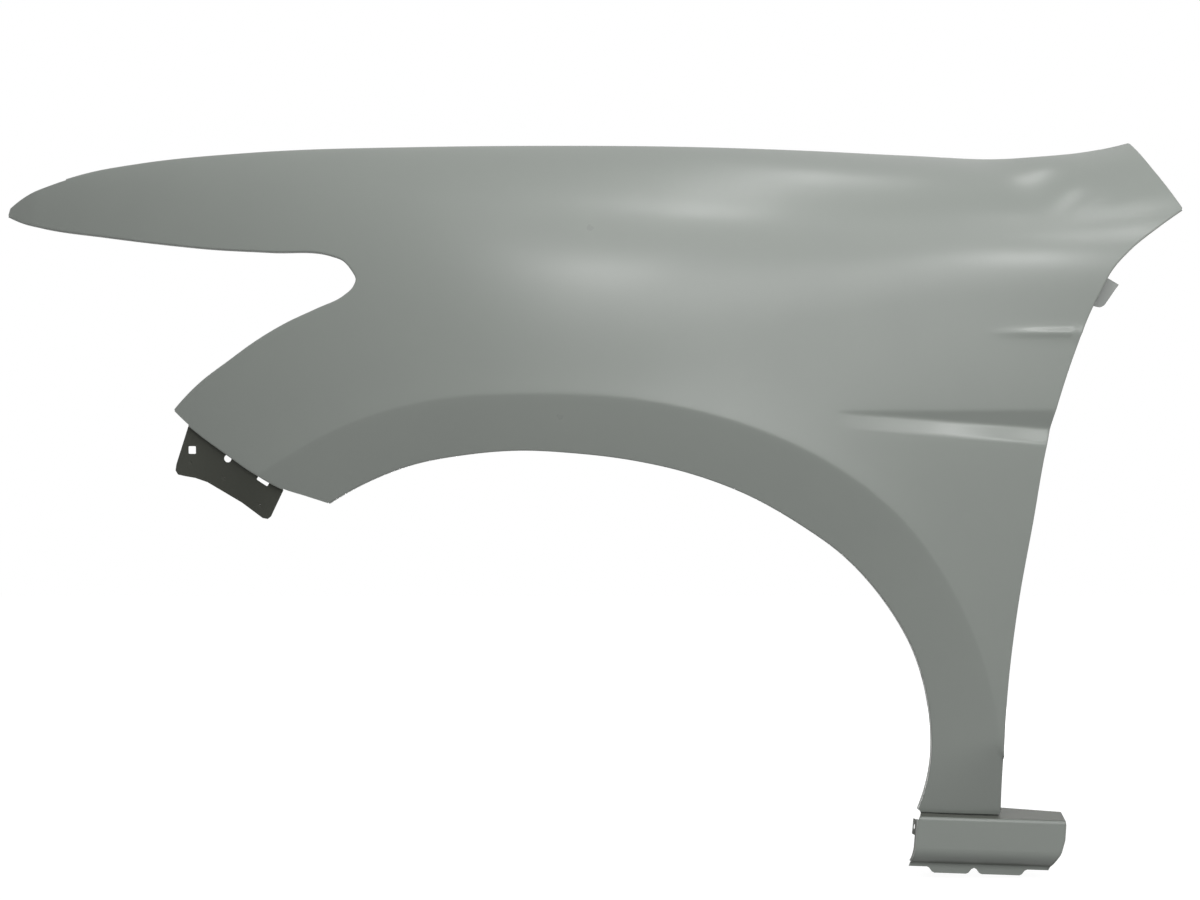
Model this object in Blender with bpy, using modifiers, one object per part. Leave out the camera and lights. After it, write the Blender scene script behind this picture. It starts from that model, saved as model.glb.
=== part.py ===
"""A left front fender: one drawn steel panel, with a sill extension and a pillar bracket welded to it.

Metres. In the panel's own frame X runs rearwards and Z up from the wheel's centre, and Y runs
inboard from the widest line of the body. Every piece hangs under one empty, which carries that
frame so that the world's origin lies under the middle bolt pad of the bonnet ledge.
"""

import math

import bmesh
import bpy
import numpy as np
from mathutils import Vector
from mathutils.geometry import delaunay_2d_cdt

# Sheet metal
SHEET = 0.0008
SEAM = 0.0003  # air between two sheets that are welded together

# Facets
CELL = 0.024  # across the panel and along its edges
MOST_TURN = math.radians(14)  # between two facets along an edge
CLEAR_OF_LINES = 0.55  # how far loose points keep from an edge or a feature line, as a share of a cell
FOLD_STEPS = 3
DENSE = 60  # samples between two knots of an outline
PROBE = 0.0005  # step over which slopes are measured

# Corners of the drawn panel, as (x, z) where each fold starts
NOSE_TOP = (-0.693, 0.6925)
TOP_CORNER = (0.6505, 0.763)
REAR_CORNER = (0.700, 0.679)
HEEL = (0.4885, -0.024)
TOE = (0.3955, -0.021)
ARCH_CORNER = (-0.2935, 0.337)
BUMPER_CORNER = (-0.478, 0.445)
NOSE_LOW = (-0.695, 0.684)

# Edges of the drawn panel, each from one corner to the next, clockwise seen from outside
BONNET_EDGE = [
    NOSE_TOP, (-0.667, 0.709), (-0.639, 0.719), (-0.592, 0.7315), (-0.529, 0.741), (-0.386, 0.752),
    (-0.193, 0.756), (0.107, 0.7555), (0.281, 0.7505), (0.381, 0.746), (0.522, 0.743), (0.581, 0.748),
    TOP_CORNER,
]
WINDSCREEN_EDGE = [TOP_CORNER, REAR_CORNER]
DOOR_EDGE = [
    REAR_CORNER, (0.668, 0.657), (0.636, 0.632), (0.612, 0.606), (0.597, 0.579), (0.586, 0.557),
    (0.571, 0.5195), (0.5555, 0.475), (0.538, 0.414), (0.520, 0.313), (0.5045, 0.223), (0.493, 0.125),
    (0.489, 0.053), HEEL,
]
FOOT_EDGE = [HEEL, TOE]
ARCH_EDGE = [
    TOE, (0.408, 0.031), (0.406, 0.099), (0.3895, 0.1615), (0.352, 0.2265), (0.304, 0.279),
    (0.2575, 0.3125), (0.1915, 0.3495), (0.133, 0.3715), (0.060, 0.3885), (-0.006, 0.3965),
    (-0.070, 0.3995), (-0.132, 0.3945), (-0.195, 0.3825), (-0.242, 0.365), ARCH_CORNER,
]
BUMPER_EDGE = [
    ARCH_CORNER, (-0.320, 0.3455), (-0.3455, 0.3535), (-0.376, 0.370), (-0.417, 0.397),
    (-0.4595, 0.428), BUMPER_CORNER,
]
LAMP_EDGE = [
    BUMPER_CORNER, (-0.4465, 0.4765), (-0.412, 0.5015), (-0.3765, 0.526), (-0.342, 0.5455),
    (-0.305, 0.562), (-0.2735, 0.5765), (-0.2615, 0.5875), (-0.258, 0.597), (-0.264, 0.6095),
    (-0.2755, 0.6215), (-0.2895, 0.627), (-0.362, 0.6325), (-0.438, 0.638), (-0.481, 0.643),
    (-0.567, 0.655), (-0.651, 0.669), (-0.680, 0.677), NOSE_LOW,
]

# Plan view: the side curves inboard both ways from its widest station
WIDEST_X = 0.170
SWEEP_SPAN = 0.500
FRONT_SWEEP = 0.0733  # depth one span before the widest station
REAR_SWEEP = 0.0375

# Sections: the shoulder leans inboard from the belt up to the bonnet edge, as (x, value) stations
BELT_HEIGHT = [(-0.66, 0.46), (-0.20, 0.46), (0.05, 0.475), (0.25, 0.54), (0.45, 0.575), (0.70, 0.56)]
SHOULDER_DEPTH = [
    (-0.66, 0.03), (-0.45, 0.065), (-0.20, 0.11), (0.10, 0.18), (0.30, 0.21), (0.45, 0.22), (0.70, 0.26),
]
SHOULDER_SHARE = [(-0.66, 0.965), (-0.30, 0.98), (-0.05, 0.965), (0.15, 0.93), (0.70, 0.90)]
SHOULDER_POWER = 2.5
STEEPEST = 0.999  # share of the roll-over at which its slope stops growing
ROLL_ROWS = (0.004, 0.011, 0.022)  # rows of facets that follow the roll-over under the bonnet edge
TUCK_HEIGHT = 0.42  # the side turns under below this height
TUCK_SLOPE = 0.09
TUCK_BLEND = 0.06

# Flare round the wheel: a soft swelling that ends at a crease, and a band turned under below it
CREASE = [
    (-0.375, 0.370), (-0.340, 0.392), (-0.280, 0.424), (-0.182, 0.454), (-0.049, 0.463),
    (0.081, 0.454), (0.212, 0.419), (0.300, 0.375), (0.370, 0.319), (0.433, 0.230),
    (0.469, 0.143), (0.486, 0.065),
]
BAND_SLOPE = 0.26
CREASE_BLEND = 0.003
CREASE_ROWS = (-0.010, 0.010)  # rows of facets beside the crease
FLARE_PROUD = 0.008
FLARE_REACH = 0.055

# Character line: a V groove that opens from a point towards the door
GROOVE_START = (0.292, 0.441)
GROOVE_END_X = 0.537
GROOVE_FLOOR = 0.4275  # height of its floor at the door
GROOVE_UPPER = 0.0185  # widths of its two faces at the door
GROOVE_LOWER = 0.0185
GROOVE_DEPTH = 0.009
GROOVE_BLEND = 0.0015
GROOVE_LINES = (GROOVE_FLOOR + GROOVE_UPPER, GROOVE_FLOOR, GROOVE_FLOOR - GROOVE_LOWER)
NARROWEST = 0.0001  # its faces at the point

# Soft rib above the groove, and the valley where the shoulder meets the windscreen pillar
RIB_HEIGHT = 0.537
RIB_PROUD = 0.0015
RIB_WIDTH = 0.010
RIB_START_X = 0.450
RIB_FULL_X = 0.560
VALLEY_START = (0.560, 0.665)
VALLEY_END = (0.672, 0.730)
VALLEY_SLOPE = 0.45
VALLEY_BLEND = 0.006
VALLEY_FADE = (0.05, 0.07)  # before and after its start

# Flanges
RELIEF = 0.004  # length of each edge left free of flange at its corners
BONNET_FOLD = 0.003
BONNET_START_X = -0.620
BONNET_END_X = 0.615
WALL_DRAFT = 0.10
WALL_SHORTEST = 0.035
LEDGE_HEIGHT = 0.700
LEDGE_FOLD = 0.003
LEDGE_NARROW = 0.012
LEDGE_WIDE = 0.025
PAD_FIRST_X = -0.490
PAD_PITCH = 0.204
PAD_LENGTH = 0.040
PAD_TAPER = 0.014
ORIGIN_PAD = 3  # counted from 0 at the front
BOLT_HOLE = 0.009
DOOR_FOLD = 0.0015
DOOR_FLANGE = 0.011
LAMP_FOLD = 0.002
LAMP_FLANGE = 0.013
ARCH_FOLD = 0.002
ARCH_LIP = 0.015
LINER_HOLES = 5
LINER_HOLE = 0.006
FOOT_FOLD = 0.002
FOOT_FLANGE = 0.012

# Bumper flange: stepped inboard from the bumper edge, out to its own outline
BUMPER_FOLD = 0.002
BUMPER_STEP = 0.004
BUMPER_FLANGE_FROM = (-0.3455, 0.3535)
BUMPER_FLANGE_TO = (-0.460, 0.4285)
BUMPER_FLANGE_OUTLINE = [
    (-0.362, 0.321), (-0.366, 0.318), (-0.372, 0.319), (-0.397, 0.337), (-0.439, 0.361),
    (-0.454, 0.366), (-0.466, 0.368), (-0.475, 0.370), (-0.478, 0.375), (-0.477, 0.382),
]
BUMPER_FLANGE_ROWS = 3
SQUARE_HOLE_AT = (-0.457, 0.399)
SQUARE_HOLE = 0.009
ROUND_HOLE_AT = (-0.413, 0.389)
ROUND_HOLE = 0.009
SLOT_AT = (-0.370, 0.363)
SLOT_LENGTH = 0.015
SLOT_WIDTH = 0.006
SLOT_TILT = math.radians(33)

# Sill extension, as one section along the foot of the panel
SILL_FRONT = [  # its ends, as (z, x) stations down the section
    (-0.090, 0.3825), (-0.079, 0.3865), (-0.062, 0.390), (-0.044, 0.391), (-0.033, 0.3925),
    (-0.027, 0.396), (-0.021, 0.404),
]
SILL_REAR = [
    (-0.0875, 0.546), (-0.076, 0.5525), (-0.0675, 0.558), (-0.062, 0.560), (-0.032, 0.564), (-0.025, 0.563),
]
SILL_PROUD = 0.010  # its face stands this far outside the foot
LEDGE_RISE = math.radians(11)
SILL_LEDGE_FRONT = 0.055
SILL_LEDGE_REAR = 0.033
SILL_SHOULDER = 0.004
SILL_FACE = 0.033
SILL_ROLL = 0.018
ROLL_TURN = math.radians(70)
SILL_UNDERSIDE = 0.004
PINCH_FOLD = 0.003
PINCH_SHORT = 0.002
PINCH_LONG = 0.009
PINCH_TABS = [(0.404, 0.459), (0.459, 0.521)]
PINCH_TAPER = 0.009
SILL_CELL = 0.010
SILL_END_FLANGE = 0.010
SILL_END_SPLAY = 0.12
TAB_TOP = 0.001  # below the shoulder
TAB_HEIGHT = 0.018
TAB_REACH = 0.013
TAB_SPLAY = 0.15
TAB_HOLE = 0.007
SILL_TAB_ROW = FOLD_STEPS + 2  # where the tab starts among the section's points

# Pillar bracket: an angle welded inside the door flange, with a rounded lower corner
BRACKET_TOP = 0.600
BRACKET_BOTTOM = 0.567
BRACKET_WELD_LEG = 0.015
BRACKET_BEND = 0.002
BRACKET_LEG = 0.016
BRACKET_FOOT_LEG = 0.011
BRACKET_CORNER = 0.008
BRACKET_CELL = 0.006

# Finish
PRIMER = (0.305, 0.325, 0.305, 1.0)
PANEL_ROUGHNESS = 0.42
SILL_ROUGHNESS = 0.45
BRACKET_ROUGHNESS = 0.50
SHARP_ANGLE = math.radians(30)

# Cutters
CUTTER_REACH = 0.012
DRILL_SIDES = 16

ORIGIN_OFF_HOLE = 0.010  # the world's origin lies this far behind its pad's bolt hole
INBOARD = np.array([0.0, 1.0, 0.0])


def clear_scene():
    """Removes whatever the file held."""
    for obj in list(bpy.data.objects):
        bpy.data.objects.remove(obj, do_unlink=True)


def new_collection(name):
    collection = bpy.data.collections.new(name)
    bpy.context.scene.collection.children.link(collection)
    return collection


def hermite(at, knots_at, values):
    """Smooth values through the knots, with the slopes of a parabola through each three."""
    slopes = np.gradient(values, knots_at, axis=0, edge_order=2 if len(knots_at) > 2 else 1)
    index = np.clip(np.searchsorted(knots_at, at, side="right") - 1, 0, len(knots_at) - 2)
    span = knots_at[index + 1] - knots_at[index]
    t = (at - knots_at[index]) / span
    if values.ndim == 2:
        t, span = t[:, None], span[:, None]
    return (
        (2 * t**3 - 3 * t**2 + 1) * values[index]
        + (t**3 - 2 * t**2 + t) * span * slopes[index]
        + (3 * t**2 - 2 * t**3) * values[index + 1]
        + (t**3 - t**2) * span * slopes[index + 1]
    )


def run_lengths(points):
    """Distance along a line of points at each of them."""
    return np.concatenate([[0.0], np.cumsum(np.linalg.norm(np.diff(points, axis=0), axis=1))])


def smooth_curve(knots):
    """A dense line of points on a smooth curve through the knots."""
    knots = np.array(knots, float)
    chord = run_lengths(knots)
    return hermite(np.linspace(0.0, chord[-1], DENSE * len(knots)), chord, knots)


def sample(curve, places):
    """Points at the given distances along a line of points."""
    run = run_lengths(curve)
    return np.stack([np.interp(places, run, axis) for axis in curve.T], axis=1)


def divide(curve, step, stops=()):
    """Points on a dense curve, with one at each stop, and their distances along it.

    They lie about a step apart, and closer where the curve bends.
    """
    run = run_lengths(curve)
    along = np.diff(curve, axis=0) / np.diff(run)[:, None]
    turns = np.arccos(np.clip((along[1:] * along[:-1]).sum(axis=1), -1.0, 1.0))
    effort = run / step + np.concatenate([[0.0], np.cumsum(turns), [turns.sum()]]) / MOST_TURN
    marks = np.interp([0.0, *sorted(stops), run[-1]], run, effort)
    pieces = [np.linspace(a, b, max(1, round(b - a)), endpoint=False) for a, b in zip(marks, marks[1:])]
    places = np.interp(np.concatenate([*pieces, marks[-1:]]), effort, run)
    return sample(curve, places), places


def place_on(curve, point):
    """Distance along a dense curve of its sample nearest to a point."""
    return run_lengths(curve)[np.linalg.norm(curve - np.array(point), axis=1).argmin()]


def place_at_x(curve, x):
    return run_lengths(curve)[np.abs(curve[:, 0] - x).argmin()]


def station(x, table):
    """The value at x of a smooth curve through a table of (x, value) stations."""
    table = np.array(table)
    inside = np.clip(x, table[0, 0], table[-1, 0])
    return hermite(inside, table[:, 0], table[:, 1])


def ramp(t, blend):
    """0 for negative t and t for positive t, rounded over the blend."""
    return (np.sqrt(t * t + blend * blend) + t) / 2


def ease(t):
    """0 to 1 as t goes from 0 to 1, with level, straight ends."""
    t = np.clip(t, 0.0, 1.0)
    return t**3 * (t * (6 * t - 15) + 10)


def nearest_on(points, line):
    """Distance of each point from a line of points, and on which side of it the point lies."""
    start, along = line[:-1], np.diff(line, axis=0)
    offset = points[:, None, :] - start
    t = np.clip((offset * along).sum(2) / (along * along).sum(1), 0.0, 1.0)
    distance = np.linalg.norm(offset - t[..., None] * along, axis=2)
    nearest, row = distance.argmin(axis=1), np.arange(len(points))
    turn = along[nearest, 0] * offset[row, nearest, 1] - along[nearest, 1] * offset[row, nearest, 0]
    return distance[row, nearest], np.sign(turn)


BONNET_LINE = smooth_curve(BONNET_EDGE)
BONNET_BEYOND = np.vstack([BONNET_LINE, 3 * BONNET_LINE[-1] - 2 * BONNET_LINE[-DENSE // 2]])
DOOR_LINE = smooth_curve(DOOR_EDGE)
BUMPER_LINE = smooth_curve(BUMPER_EDGE)
CREASE_LINE = divide(smooth_curve(CREASE), CELL / 3)[0]


def groove_line(x, height):
    """Height at x of a groove line that reaches the given height at the door."""
    share = np.clip((x - GROOVE_START[0]) / (GROOVE_END_X - GROOVE_START[0]), 0.0, None)
    return GROOVE_START[1] + (height - GROOVE_START[1]) * share


def groove(x, z):
    """Depth of the character line's V groove."""
    share = np.clip((x - GROOVE_START[0]) / (GROOVE_END_X - GROOVE_START[0]), 0.0, None)
    top, floor, foot = (groove_line(x, height) for height in GROOVE_LINES)
    upper, lower = np.maximum(top - floor, NARROWEST), np.maximum(floor - foot, NARROWEST)
    rise = ramp(z - foot, GROOVE_BLEND) / lower
    turn = ramp(z - floor, GROOVE_BLEND) * (1 / lower + 1 / upper)
    return GROOVE_DEPTH * share * (rise - turn + ramp(z - top, GROOVE_BLEND) / upper)


def valley(x, z):
    """How far the sheet beyond the valley line stands out from the shoulder's own lean."""
    start, end = np.array(VALLEY_START), np.array(VALLEY_END)
    along = (end - start) / np.linalg.norm(end - start)
    beyond = (z - start[1]) * along[0] - (x - start[0]) * along[1]
    travel = (x - start[0]) * along[0] + (z - start[1]) * along[1]
    return VALLEY_SLOPE * ramp(beyond, VALLEY_BLEND) * ease((travel + VALLEY_FADE[0]) / sum(VALLEY_FADE))


def depth(x, z):
    """How far inboard the drawn surface lies at each (x, z)."""
    spans = (x - WIDEST_X) / SWEEP_SPAN
    sweep = REAR_SWEEP + (FRONT_SWEEP - REAR_SWEEP) * ease(0.5 - spans)
    belt = station(x, BELT_HEIGHT)
    top = np.interp(x, BONNET_BEYOND[:, 0], BONNET_BEYOND[:, 1])
    rise = np.clip((z - belt) / (top - belt) * station(x, SHOULDER_SHARE), 0.0, STEEPEST)
    lean = station(x, SHOULDER_DEPTH) * (1 - np.sqrt(1 - rise**SHOULDER_POWER))
    tuck = TUCK_SLOPE * ramp(TUCK_HEIGHT - z, TUCK_BLEND)
    gap, side = nearest_on(np.stack([x, z], axis=1), CREASE_LINE)
    band = BAND_SLOPE * ramp(-gap * side, CREASE_BLEND)
    flare = FLARE_PROUD * np.exp(-np.maximum(gap * side, 0.0) / FLARE_REACH)
    fade = ease((x - RIB_START_X) / (RIB_FULL_X - RIB_START_X))
    rib = RIB_PROUD * fade * np.exp(-(((z - RIB_HEIGHT) / RIB_WIDTH) ** 2))
    return sweep * spans**2 + lean + tuck + band - flare - rib + groove(x, z) - valley(x, z)


def on_skin(flat):
    """Points of the drawn surface at (x, z) places."""
    return np.stack([flat[:, 0], depth(flat[:, 0], flat[:, 1]), flat[:, 1]], axis=1)


def unit(vectors):
    return vectors / np.linalg.norm(vectors, axis=-1, keepdims=True)


def edge_headings(flat):
    """At each point of a clockwise edge, the direction in which the sheet runs out over that edge."""
    x, z = flat.T
    slope_x = (depth(x + PROBE, z) - depth(x - PROBE, z)) / (2 * PROBE)
    slope_z = (depth(x, z + PROBE) - depth(x, z - PROBE)) / (2 * PROBE)
    normal = unit(np.stack([slope_x, -np.ones_like(x), slope_z], axis=1))
    tangent = unit(np.gradient(on_skin(flat), axis=0))
    return unit(np.cross(normal, tangent))


def bend(points, heading, target, radius, length):
    """Rows of points that turn from the heading to the target on a radius, then run straight."""
    target = np.broadcast_to(target, heading.shape)
    cosine = (heading * target).sum(axis=1, keepdims=True)
    angle = np.arccos(np.clip(cosine, -1.0, 1.0))
    towards = unit(target - heading * cosine)
    rows = []
    for step in range(1, FOLD_STEPS + 1):
        turned = angle * step / FOLD_STEPS
        rows.append(points + radius * (heading * np.sin(turned) + towards * (1 - np.cos(turned))))
    rows.append(rows[-1] + target * np.reshape(length, (-1, 1)))
    return rows


def panel_edges():
    """Each edge of the drawn panel as (points, distances along it), with the stops that features need."""
    groove_stops = []
    for height in GROOVE_LINES:
        off_line = np.abs(DOOR_LINE[:, 1] - groove_line(DOOR_LINE[:, 0], height))
        groove_stops.append(run_lengths(DOOR_LINE)[off_line.argmin()])
    pad_stops = []
    for x in pad_places():
        for half in (PAD_LENGTH / 2, PAD_LENGTH / 2 + PAD_TAPER):
            pad_stops += [place_at_x(BONNET_LINE, x - half), place_at_x(BONNET_LINE, x + half)]
    start, end = bumper_flange_span()
    outline_run = run_lengths(np.array(BUMPER_FLANGE_OUTLINE))
    flange_stops = np.interp(outline_run, outline_run[[0, -1]], (start, end))
    stops = {
        "bonnet": [place_at_x(BONNET_LINE, x) for x in (BONNET_START_X, BONNET_END_X)] + pad_stops,
        "door": [*groove_stops, place_on(DOOR_LINE, CREASE[-1])],
        "bumper": [place_on(BUMPER_LINE, CREASE[0]), *flange_stops],
    }
    knots = {
        "bonnet": BONNET_EDGE, "windscreen": WINDSCREEN_EDGE, "door": DOOR_EDGE, "foot": FOOT_EDGE,
        "arch": ARCH_EDGE, "bumper": BUMPER_EDGE, "lamp": LAMP_EDGE, "nose": [NOSE_LOW, NOSE_TOP],
    }
    edges = {}
    for name, line in knots.items():
        curve = smooth_curve(line)
        ends = [RELIEF, run_lengths(curve)[-1] - RELIEF] if name not in ("nose", "bumper", "bonnet") else []
        edges[name] = divide(curve, CELL, [*ends, *stops.get(name, [])])
    return edges


def bumper_flange_span():
    """Where the bumper flange starts and ends, as distances along the bumper edge."""
    return [place_on(BUMPER_LINE, point) for point in (BUMPER_FLANGE_FROM, BUMPER_FLANGE_TO)]


def pad_places():
    """Stations of the bolt pads, as many as the bonnet ledge has room for."""
    last = BONNET_END_X - PAD_LENGTH / 2 - PAD_TAPER
    return list(np.arange(PAD_FIRST_X, last, PAD_PITCH))


def feature_lines(edges, loop):
    """Lines inside the outline that the facets follow."""
    crease = divide(smooth_curve(CREASE), CELL)[0]
    crease[0] = nearest_vertex(edges["bumper"][0], CREASE[0])
    crease[-1] = nearest_vertex(edges["door"][0], CREASE[-1])
    lines = [crease]
    normals = unit(np.gradient(crease, axis=0))[:, ::-1] * (-1, 1)
    for offset in CREASE_ROWS:
        row = crease + offset * normals
        lines.append(row[inside(row, loop) & (nearest_on(row, loop)[0] > CELL / 2)])
    for height in GROOVE_LINES:
        end = nearest_vertex(edges["door"][0], (GROOVE_END_X, height))
        lines.append(divide(np.linspace(GROOVE_START, end, DENSE), CELL)[0])
    bonnet = edges["bonnet"][0]
    middle = bonnet[(bonnet[:, 0] > BONNET_START_X) & (bonnet[:, 0] < BONNET_END_X)]
    lines += [middle - (0.0, drop) for drop in ROLL_ROWS]
    return lines


def nearest_vertex(points, target):
    return points[np.linalg.norm(points - np.array(target), axis=1).argmin()]


def inside(points, loop):
    """Which points lie inside a closed loop."""
    x, z = points[:, 0, None], points[:, 1, None]
    ax, az = loop.T
    bx, bz = np.roll(loop, -1, axis=0).T
    spans = (az > z) != (bz > z)
    crossing = ax + (z - az) / np.where(bz == az, 1.0, bz - az) * (bx - ax)
    return (spans & (x < crossing)).sum(axis=1) % 2 == 1


def lattice(loop, lines):
    """Evenly spread points inside the outline, clear of it and of the feature lines."""
    low, high = loop.min(axis=0), loop.max(axis=0)
    row_pitch = CELL * math.sqrt(3) / 2
    points = [
        (x + CELL / 2 * (i % 2), z)
        for i, z in enumerate(np.arange(low[1], high[1], row_pitch))
        for x in np.arange(low[0], high[0], CELL)
    ]
    points = np.array(points)
    points = points[inside(points, loop)]
    for line in [np.vstack([loop, loop[:1]]), *lines]:
        points = points[nearest_on(points, line)[0] > CLEAR_OF_LINES * CELL]
    return points


def drawn_panel():
    """The open drawn surface, and the vertices and (x, z) places along each of its edges."""
    edges = panel_edges()
    loop = np.vstack([points[:-1] for points, _ in edges.values()])
    lines = feature_lines(edges, loop)
    flat = [*loop, *np.vstack(lines), *lattice(loop, lines)]
    pairs, first = [], len(loop)
    for line in lines:
        pairs += [(first + i, first + i + 1) for i in range(len(line) - 1)]
        first += len(line)
    made, _, faces, sources, _, _ = delaunay_2d_cdt(
        [Vector(p) for p in flat], pairs, [list(range(len(loop)))[::-1]], 1, 1e-6
    )
    bm = bmesh.new()
    places = on_skin(np.array([tuple(p) for p in made]))
    vertices = [bm.verts.new(p) for p in places]
    for face in faces:
        bm.faces.new([vertices[i] for i in face])
    became = {source: vertices[i] for i, group in enumerate(sources) for source in group}
    chains, first = {}, 0
    for name, (points, run) in edges.items():
        count = len(points) - 1
        chain = [became[(first + i) % len(loop)] for i in range(count + 1)]
        chains[name] = (chain, points, run)
        first += count
    return bm, chains


def stretch(chain, start, end):
    """The part of an edge between two distances along it."""
    vertices, points, run = chain
    kept = [i for i, r in enumerate(run) if start - 1e-6 <= r <= end + 1e-6]
    return [vertices[i] for i in kept], points[kept]


def extrude_rows(bm, chain, rows):
    """Extrudes a chain of boundary vertices through rows of places, and returns the last row's vertices."""
    for row in rows:
        edges = [bm.edges.get(pair) for pair in zip(chain, chain[1:])]
        made = bmesh.ops.extrude_edge_only(bm, edges=edges)["geom"]
        fresh = {item for item in made if isinstance(item, bmesh.types.BMVert)}
        chain = [next(e.other_vert(v) for e in v.link_edges if e.other_vert(v) in fresh) for v in chain]
        for vertex, place in zip(chain, row):
            vertex.co = place
    return chain


def add_return(bm, chain, fold, length, target=INBOARD, start=RELIEF, end=None):
    """Folds a plain flange of one length along an edge, and returns its last row of places."""
    end = chain[2][-1] - RELIEF if end is None else end
    vertices, flat = stretch(chain, start, end)
    rows = bend(on_skin(flat), edge_headings(flat), target, fold, length)
    extrude_rows(bm, vertices, rows)
    return rows[-1]


def bonnet_flange_rows(flat):
    """Rows of the bonnet edge's flange: over the fold, down the wall and round to the scalloped ledge."""
    down = unit(np.array([0.0, WALL_DRAFT, -1.0]))
    folded = bend(on_skin(flat), edge_headings(flat), down, BONNET_FOLD, 0.0)[:FOLD_STEPS]
    ledge = np.minimum(LEDGE_HEIGHT, flat[:, 1] - WALL_SHORTEST)
    fold_drop = LEDGE_FOLD * (1 - down[1])
    wall = (folded[-1][:, 2] - ledge - fold_drop) / -down[2]
    foot = folded[-1] + down * wall[:, None]
    gap = np.min([np.abs(flat[:, 0] - x) for x in pad_places()], axis=0)
    share = 1 - np.clip((gap - PAD_LENGTH / 2) / PAD_TAPER, 0.0, 1.0)
    width = LEDGE_NARROW + (LEDGE_WIDE - LEDGE_NARROW) * share
    return [*folded, foot, *bend(foot, np.broadcast_to(down, foot.shape), INBOARD, LEDGE_FOLD, width)]


def ledge_place(x):
    """Where the middle of the ledge's width lies at a station."""
    curve_place = place_at_x(BONNET_LINE, x)
    flat = divide(BONNET_LINE, CELL, [curve_place])[0]
    rows = bonnet_flange_rows(flat)
    near = np.abs(flat[:, 0] - x).argmin()
    return (rows[-2][near] + rows[-1][near]) / 2


def bumper_flange_rows(flat):
    """Rows of the stepped bumper flange: in, down again, then out to its own outline."""
    headings = edge_headings(flat)
    stepped = bend(on_skin(flat), headings, INBOARD, BUMPER_FOLD, BUMPER_STEP)
    inward = np.broadcast_to(INBOARD, headings.shape)
    turned = bend(stepped[-1], inward, headings, BUMPER_FOLD, 0.0)[:FOLD_STEPS]
    outline, run = np.array(BUMPER_FLANGE_OUTLINE), run_lengths(flat)
    target = flange_rim(sample(outline, run / run[-1] * run_lengths(outline)[-1]))
    start = turned[-1]
    lofted = [start + (target - start) * (i + 1) / BUMPER_FLANGE_ROWS for i in range(BUMPER_FLANGE_ROWS)]
    return [*stepped, *turned, *lofted]


def bumper_set_back():
    """How far inboard of the skin the bumper flange lies."""
    return 2 * BUMPER_FOLD + BUMPER_STEP


def flange_rim(flat):
    """Places on the bumper flange's outline, whose depth runs straight between its two ends."""
    ends = np.array([BUMPER_FLANGE_OUTLINE[0], BUMPER_FLANGE_OUTLINE[-1]])
    order = ends[:, 0].argsort()
    level = np.interp(flat[:, 0], ends[order, 0], on_skin(ends)[order, 1])
    return np.stack([flat[:, 0], level + bumper_set_back(), flat[:, 1]], axis=1)


def flange_place(at):
    """The place at (x, z) on the bumper flange, between the skin's edge and the flange's outline."""
    outline = np.array(BUMPER_FLANGE_OUTLINE)
    rim = sample(outline, np.linspace(0.0, run_lengths(outline)[-1], DENSE))
    edge, rim = nearest_vertex(BUMPER_LINE, at), nearest_vertex(rim, at)
    to_edge, to_rim = np.linalg.norm(edge - at), np.linalg.norm(rim - at)
    edge_y = on_skin(edge[None])[0, 1] + bumper_set_back()
    rim_y = flange_rim(rim[None])[0, 1]
    return np.array([at[0], edge_y + (rim_y - edge_y) * to_edge / (to_edge + to_rim), at[1]])


def outer_panel():
    """The drawn panel with every flange that is folded from its own sheet."""
    bm, chains = drawn_panel()
    start, end = (place_at_x(BONNET_LINE, x) for x in (BONNET_START_X, BONNET_END_X))
    vertices, flat = stretch(chains["bonnet"], start, end)
    extrude_rows(bm, vertices, bonnet_flange_rows(flat))
    add_return(bm, chains["windscreen"], DOOR_FOLD, DOOR_FLANGE)
    add_return(bm, chains["door"], DOOR_FOLD, DOOR_FLANGE)
    rise = np.array([0.0, math.cos(LEDGE_RISE), math.sin(LEDGE_RISE)])
    add_return(bm, chains["foot"], FOOT_FOLD, FOOT_FLANGE, rise)
    add_return(bm, chains["arch"], ARCH_FOLD, ARCH_LIP)
    add_return(bm, chains["lamp"], LAMP_FOLD, LAMP_FLANGE)
    vertices, flat = stretch(chains["bumper"], *bumper_flange_span())
    extrude_rows(bm, vertices, bumper_flange_rows(flat))
    return bm


def turtle(start, heading, moves):
    """A flat path: each move runs straight for a length, or turns on a radius by an angle."""
    points, heading = [np.array(start, float)], float(heading)
    for length, angle in moves:
        if angle == 0.0:
            points.append(points[-1] + length * np.array([math.cos(heading), math.sin(heading)]))
            continue
        side = math.copysign(1.0, angle)
        centre = points[-1] + length * side * np.array([-math.sin(heading), math.cos(heading)])
        for i in range(1, FOLD_STEPS + 1):
            turned = heading + angle * i / FOLD_STEPS
            points.append(centre + length * side * np.array([math.sin(turned), -math.cos(turned)]))
        heading += angle
    return np.array(points)


def foot_point():
    """The outer corner of the panel's foot fold at its heel, and how its edge slopes along X."""
    heel, toe = np.array(HEEL), np.array(TOE)
    slope = (heel[1] - toe[1]) / (heel[0] - toe[0])
    y = float(depth(heel[:1], heel[1:])[0])
    return heel, y, slope


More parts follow.
